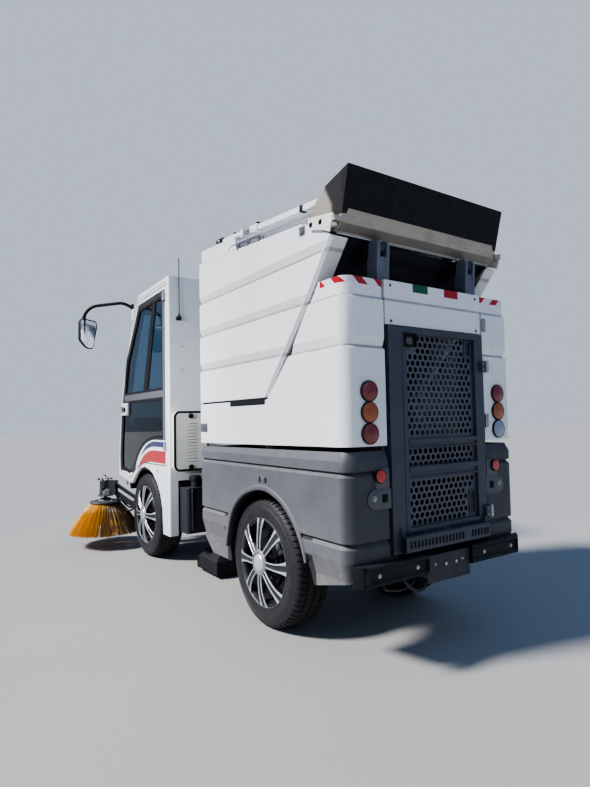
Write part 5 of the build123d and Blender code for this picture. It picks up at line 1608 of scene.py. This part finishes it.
front = Piece("cab_front_fittings", "chassis", [rubber, black, latch_grey, zinc], "black_plastic")
for s in (1, -1):
    pts = [P(fc(d)[0] + 0.5, 402 * s, fc(d)[1]) for d in [4.6 + k * 2 for k in range(17)]]
    front.add(tube(pts, 7, 8))
for d in (4.5, 36.7):
    x, z = fc(d)
    front.add(tube([P(x, -402, z), P(x, 402, z)], 7, 8))
pts = [P(fc(d, 16)[0], 60 - 230 * (d - 6) / 20, fc(d, 16)[1]) for d in [5 + k * 1.5 for k in range(8)]]
front.add(tube(pts, 5, 8), 1)
pts = [P(fc(d, 9)[0], -60, fc(d, 9)[1]) for d in [8 + k * 1.5 for k in range(12)]]
front.add(tube(pts, 4, 8), 1)
x, z = fc(4.0, 2)
front.add(turned([(0, 0), (20, 0), (20, 10), (15, 18), (0, 20)], P(x, 60, z), (1, 0, 0.1), 24), 1)
# slatted vent between the headlamps
for k in range(6):
    z = 600 + k * 19
    x = 960 + math.sqrt(2083 ** 2 - (z - 615) ** 2)
    front.add(block((x - 8, x + 5), (-228, 228), (z, z + 9), 2.0), 1)
for s in (1, -1):
    x = 960 + 2083
    front.add(block((x - 8, x + 4), sorted((226 * s, 236 * s)), (594, 712), 2.0), 1)
front.make()

# =====================================================================
# suction hose with its ribs
# =====================================================================
way = evenly(bend([P(1640, 0, 192), P(1640, 0, 700), P(1215, 0, 940), P(1215, 0, 1104)], 130), 5.0)
hose = Piece("suction_hose", "chassis", [hose_black, zinc], "black_hose")
count = len(way) - 1
hose.add(tube(way, lambda t: 87.2 + 2.3 * math.cos(2 * math.pi * t * count / 4), 40, inner=79.5))
hose.make(angle=60, replaces=("suction_duct",))

# brush hoses lie along the lower arms
for side_name, s in (("left", 1), ("right", -1)):
    h = Piece(side_name + "_brush_hoses", side_name + "_brush_arm" if side_name + "_brush_arm" in frame["bodies"] else "chassis",
              [hose_black, zinc], "black_hose")
    for off, low, r in ((-16, -58, 7.5), (14, -84, 9.0), (2, -30, 6.0)):
        a = Vector((2846 - off * 0.7, 407 + off * 0.7, 318))
        b = Vector((2960 - off * 0.7, 529 + off * 0.7, 424))
        pts = [a + (b - a) * t + Vector((0, 0, low * math.sin(math.pi * t) ** 0.8)) for t in (0, 0.15, 0.35, 0.5, 0.65, 0.85, 1)]
        h.add(tube(flow([P(p.x, p.y * s, p.z) for p in pts]), r, 12))
    for off, dz in ((-6, 24), (8, 27)):
        a = Vector((2850 - off * 0.7, (410 + off * 0.7), 300 + dz + 14))
        b = Vector((2965 - off * 0.7, (534 + off * 0.7), 410 + dz))
        pts = [a + (b - a) * t + Vector((0, 0, -7 * math.sin(math.pi * t))) for t in (0, 0.2, 0.4, 0.6, 0.8, 1)]
        h.add(tube(flow([P(p.x, p.y * s, p.z) for p in pts]), 5.5, 10))
    h.make()
    # hoses from the frame to the arm's root, looped behind it
    g = Piece(side_name + "_brush_feed_hoses", "chassis", [hose_black, zinc], "black_hose")
    for y0, z0, low, r in ((300, 400, 250, 9), (330, 420, 232, 7.5), (282, 380, 280, 6.5)):
        g.add(tube(flow([P(2770, y0 * s, z0), P(2790, (y0 + 30) * s, z0 - 60), P(2806, (y0 + 62) * s, low + 14), P(2822, 376 * s, low),
                         P(2838, 372 * s, low + 34), P(2842, 368 * s, 306)]), r, 12))
    g.make()


# =====================================================================
# seat: two padded cushions, inflated a little as cloth, then sewn
# =====================================================================
def cushion(name, corners, node, cap, seams, crown):
    """corners: eight points of a block slightly inside the space; seams: function of the point giving how far it is drawn in"""
    bm = bmesh.new()
    vs = [bm.verts.new(c) for c in corners]
    for f in ((0, 1, 2, 3), (7, 6, 5, 4), (0, 4, 5, 1), (1, 5, 6, 2), (2, 6, 7, 3), (3, 7, 4, 0)):
        bm.faces.new([vs[i] for i in f])
    bmesh.ops.recalc_face_normals(bm, faces=bm.faces[:])
    bmesh.ops.bevel(bm, geom=bm.edges[:], offset=0.022, segments=4, profile=0.5, affect="EDGES", clamp_overlap=True)
    me = bpy.data.meshes.new(name)
    bm.to_mesh(me)
    bm.free()
    ob = bpy.data.objects.new(name, me)
    scene.collection.objects.link(ob)
    bpy.context.view_layer.objects.active = ob
    rm = ob.modifiers.new("remesh", "REMESH")
    rm.mode, rm.voxel_size = "VOXEL", 0.006
    dg = bpy.context.evaluated_depsgraph_get()
    me2 = bpy.data.meshes.new_from_object(ob.evaluated_get(dg))
    ob.modifiers.clear()
    ob.data = me2
    rest = [v.co.copy() for v in ob.data.vertices]
    cl = ob.modifiers.new("cloth", "CLOTH")
    cl.settings.effector_weights.gravity = 0
    cl.settings.use_pressure = True
    cl.settings.uniform_pressure_force = 4.0
    cl.settings.quality = 4
    cl.settings.tension_stiffness = cl.settings.compression_stiffness = 20
    cl.settings.shear_stiffness = 8
    for fr in range(1, 21):
        scene.frame_set(fr)
    dg = bpy.context.evaluated_depsgraph_get()
    swollen = bpy.data.meshes.new_from_object(ob.evaluated_get(dg))
    ob.modifiers.clear()
    ob.data = swollen
    scene.frame_set(1)
    for v, r in zip(ob.data.vertices, rest):
        d = v.co - r
        if d.length > cap:
            v.co = r + d * (cap / d.length)
    ob.data.update()
    normals = [v.normal.copy() for v in ob.data.vertices]
    for v, nr in zip(ob.data.vertices, normals):
        v.co = v.co - nr * seams(v.co, nr) + nr * crown(v.co, nr)
    ob.data.materials.clear()
    ob.data.materials.append(seat_cloth.m)
    ob.data.polygons.foreach_set("use_smooth", [True] * len(ob.data.polygons))
    ob.data.update()
    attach(ob, "chassis")
    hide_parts(node)
    return ob


def groove(d, width, depth):
    return depth * math.exp(-(d / width) ** 2)


def base_seams(p, nr):
    x, y, z = p.x - XR, p.y, p.z
    if nr.z < 0.2:
        return groove(z - 0.985, 0.004, 0.003)
    g = max(groove(abs(y) - 0.135, 0.005, 0.009), groove(x - 2.36, 0.005, 0.008))
    if abs(y) < 0.13 and x < 2.36:
        g = max(g, groove((x - 2.05) % 0.075 - 0.0375, 0.005, 0.005))
    return g


def base_crown(p, nr):
    y = p.y
    if nr.z > 0.3 and abs(y) > 0.14:
        return 0.006 * math.sin(min(1, (abs(y) - 0.135) / 0.08) * math.pi)
    return 0.0


def back_seams(p, nr):
    y, z = p.y, p.z
    if nr.x < 0.3:
        return 0.0
    g = groove(abs(y) - 0.13, 0.005, 0.008)
    if abs(y) < 0.125 and 1.12 < z < 1.5:
        g = max(g, groove((z - 1.12) % 0.08 - 0.04, 0.005, 0.005))
    return max(g, groove(z - 1.52, 0.005, 0.007))


def back_crown(p, nr):
    return 0.006 * math.sin(min(1, max(0, (abs(p.y) - 0.13)) / 0.08) * math.pi) if nr.x > 0.3 and abs(p.y) > 0.13 else 0.0


e = 12
cushion("seat_cushion", [P(2010 + e, -230 + e, 942 + 4), P(2440 - e, -230 + e, 942 + 4), P(2440 - e, 230 - e, 942 + 4),
                         P(2010 + e, 230 - e, 942 + 4), P(2010 + e, -230 + e, 1050 - e), P(2440 - e, -230 + e, 1050 - e),
                         P(2440 - e, 230 - e, 1050 - e), P(2010 + e, 230 - e, 1050 - e)], "seat_base", 0.012, base_seams, base_crown)
cushion("seat_backrest", [P(1970, -203, 1068), P(2052, -203, 1068), P(2052, 203, 1068), P(1970, 203, 1068),
                          P(1920, -196, 1610), P(1972, -196, 1610), P(1972, 196, 1610), P(1920, 196, 1610)],
        "seat_back", 0.008, back_seams, back_crown)

seat = Piece("seat_fittings", "chassis", [black, zinc, interior], "black_plastic")
for s in (1, -1):
    seat.add(side_plate([(1990, 930), (2420, 930), (2400, 946), (2060, 946), (1960, 1064), (1946, 1060)], 222 * s, 230 * s, 2), 0)
seat.add(block((2000, 2420), (-200, 200), (936, 943), 2), 2)
seat.make()

# =====================================================================
# floor and light
# =====================================================================
fm = Mat("floor")
tone = fm.noise(0.8, 4, 0.5)
fine = fm.noise(60, 5, 0.7)
fm.set(Base_Color=fm.mix(fm.f("ADD", fm.f("MULTIPLY", tone, 0.35), fm.f("MULTIPLY", fine, 0.25)), (0.37, 0.365, 0.355), (0.32, 0.315, 0.31)),
       Roughness=0.85, Normal=fm.bump(fine, 0.001, 0.3))
me = bpy.data.meshes.new("floor")
n = 64
me.from_pydata([(0, 0, 0)] + [(60 * math.cos(2 * math.pi * i / n), 60 * math.sin(2 * math.pi * i / n), 0) for i in range(n)], [],
               [[0, 1 + i, 1 + (i + 1) % n] for i in range(n)])
floor = bpy.data.objects.new("floor", me)
me.materials.append(fm.m)
scene.collection.objects.link(floor)

world = bpy.data.worlds.new("studio")
scene.world = world
world.use_nodes = True
wt = world.node_tree
wt.nodes.clear()
bg = wt.nodes.new("ShaderNodeBackground")
seen = wt.nodes.new("ShaderNodeBackground")
pick = wt.nodes.new("ShaderNodeMixShader")
path = wt.nodes.new("ShaderNodeLightPath")
wo = wt.nodes.new("ShaderNodeOutputWorld")
tc = wt.nodes.new("ShaderNodeTexCoord")
sp = wt.nodes.new("ShaderNodeSeparateXYZ")
cr = wt.nodes.new("ShaderNodeValToRGB")
wt.links.new(tc.outputs["Generated"], sp.inputs[0])
wt.links.new(sp.outputs[2], cr.inputs[0])
wt.links.new(cr.outputs[0], bg.inputs[0])
wt.links.new(path.outputs["Is Camera Ray"], pick.inputs[0])
wt.links.new(bg.outputs[0], pick.inputs[1])
wt.links.new(seen.outputs[0], pick.inputs[2])
wt.links.new(pick.outputs[0], wo.inputs[0])
cr.color_ramp.elements[0].position, cr.color_ramp.elements[0].color = 0.0, (0.46, 0.55, 0.70, 1)
cr.color_ramp.elements[1].position, cr.color_ramp.elements[1].color = 0.6, (0.28, 0.47, 0.86, 1)
bg.inputs[1].default_value = 0.42
seen.inputs[0].default_value = (0.50, 0.57, 0.66, 1)
seen.inputs[1].default_value = 0.85


def area(name, loc, to, size, power, colour=(1, 1, 1)):
    la = bpy.data.lights.new(name, "AREA")
    la.shape, la.size, la.energy, la.color = "DISK", size, power, colour
    ob = bpy.data.objects.new(name, la)
    scene.collection.objects.link(ob)
    ob.location = loc
    d = Vector(to) - Vector(loc)
    ob.rotation_euler = d.to_track_quat("-Z", "Y").to_euler()
    ob.visible_camera = False
    return ob


sun = bpy.data.lights.new("key", "SUN")
sun.energy, sun.angle, sun.color = 5.4, 0.16, (1.0, 0.98, 0.95)
sun_ob = bpy.data.objects.new("key", sun)
scene.collection.objects.link(sun_ob)
sun_ob.rotation_euler = (Vector((0, 0, 0.9)) - Vector((2.2, 6.6, 7.6))).to_track_quat("-Z", "Y").to_euler()
spot = bpy.data.lights.new("cab_fill", "SPOT")
spot.energy, spot.spot_size, spot.spot_blend, spot.shadow_soft_size, spot.color = 420, math.radians(24), 0.8, 0.45, (0.93, 0.96, 1.0)
spot_ob = bpy.data.objects.new("cab_fill", spot)
scene.collection.objects.link(spot_ob)
spot_ob.location = (-1.3, 3.5, 1.7)
spot_ob.rotation_euler = (Vector((0.22, 0.38, 1.15)) - Vector((-1.3, 3.5, 1.7))).to_track_quat("-Z", "Y").to_euler()
area("fill", (-7.0, -1.0, 4.0), (-0.8, 0, 1.0), 4.5, 45, (0.74, 0.86, 1.0))
scene.view_settings.view_transform = "AgX"
scene.view_settings.look = "AgX - Medium High Contrast"
scene.view_settings.exposure = 0.22

bpy.context.view_layer.update()
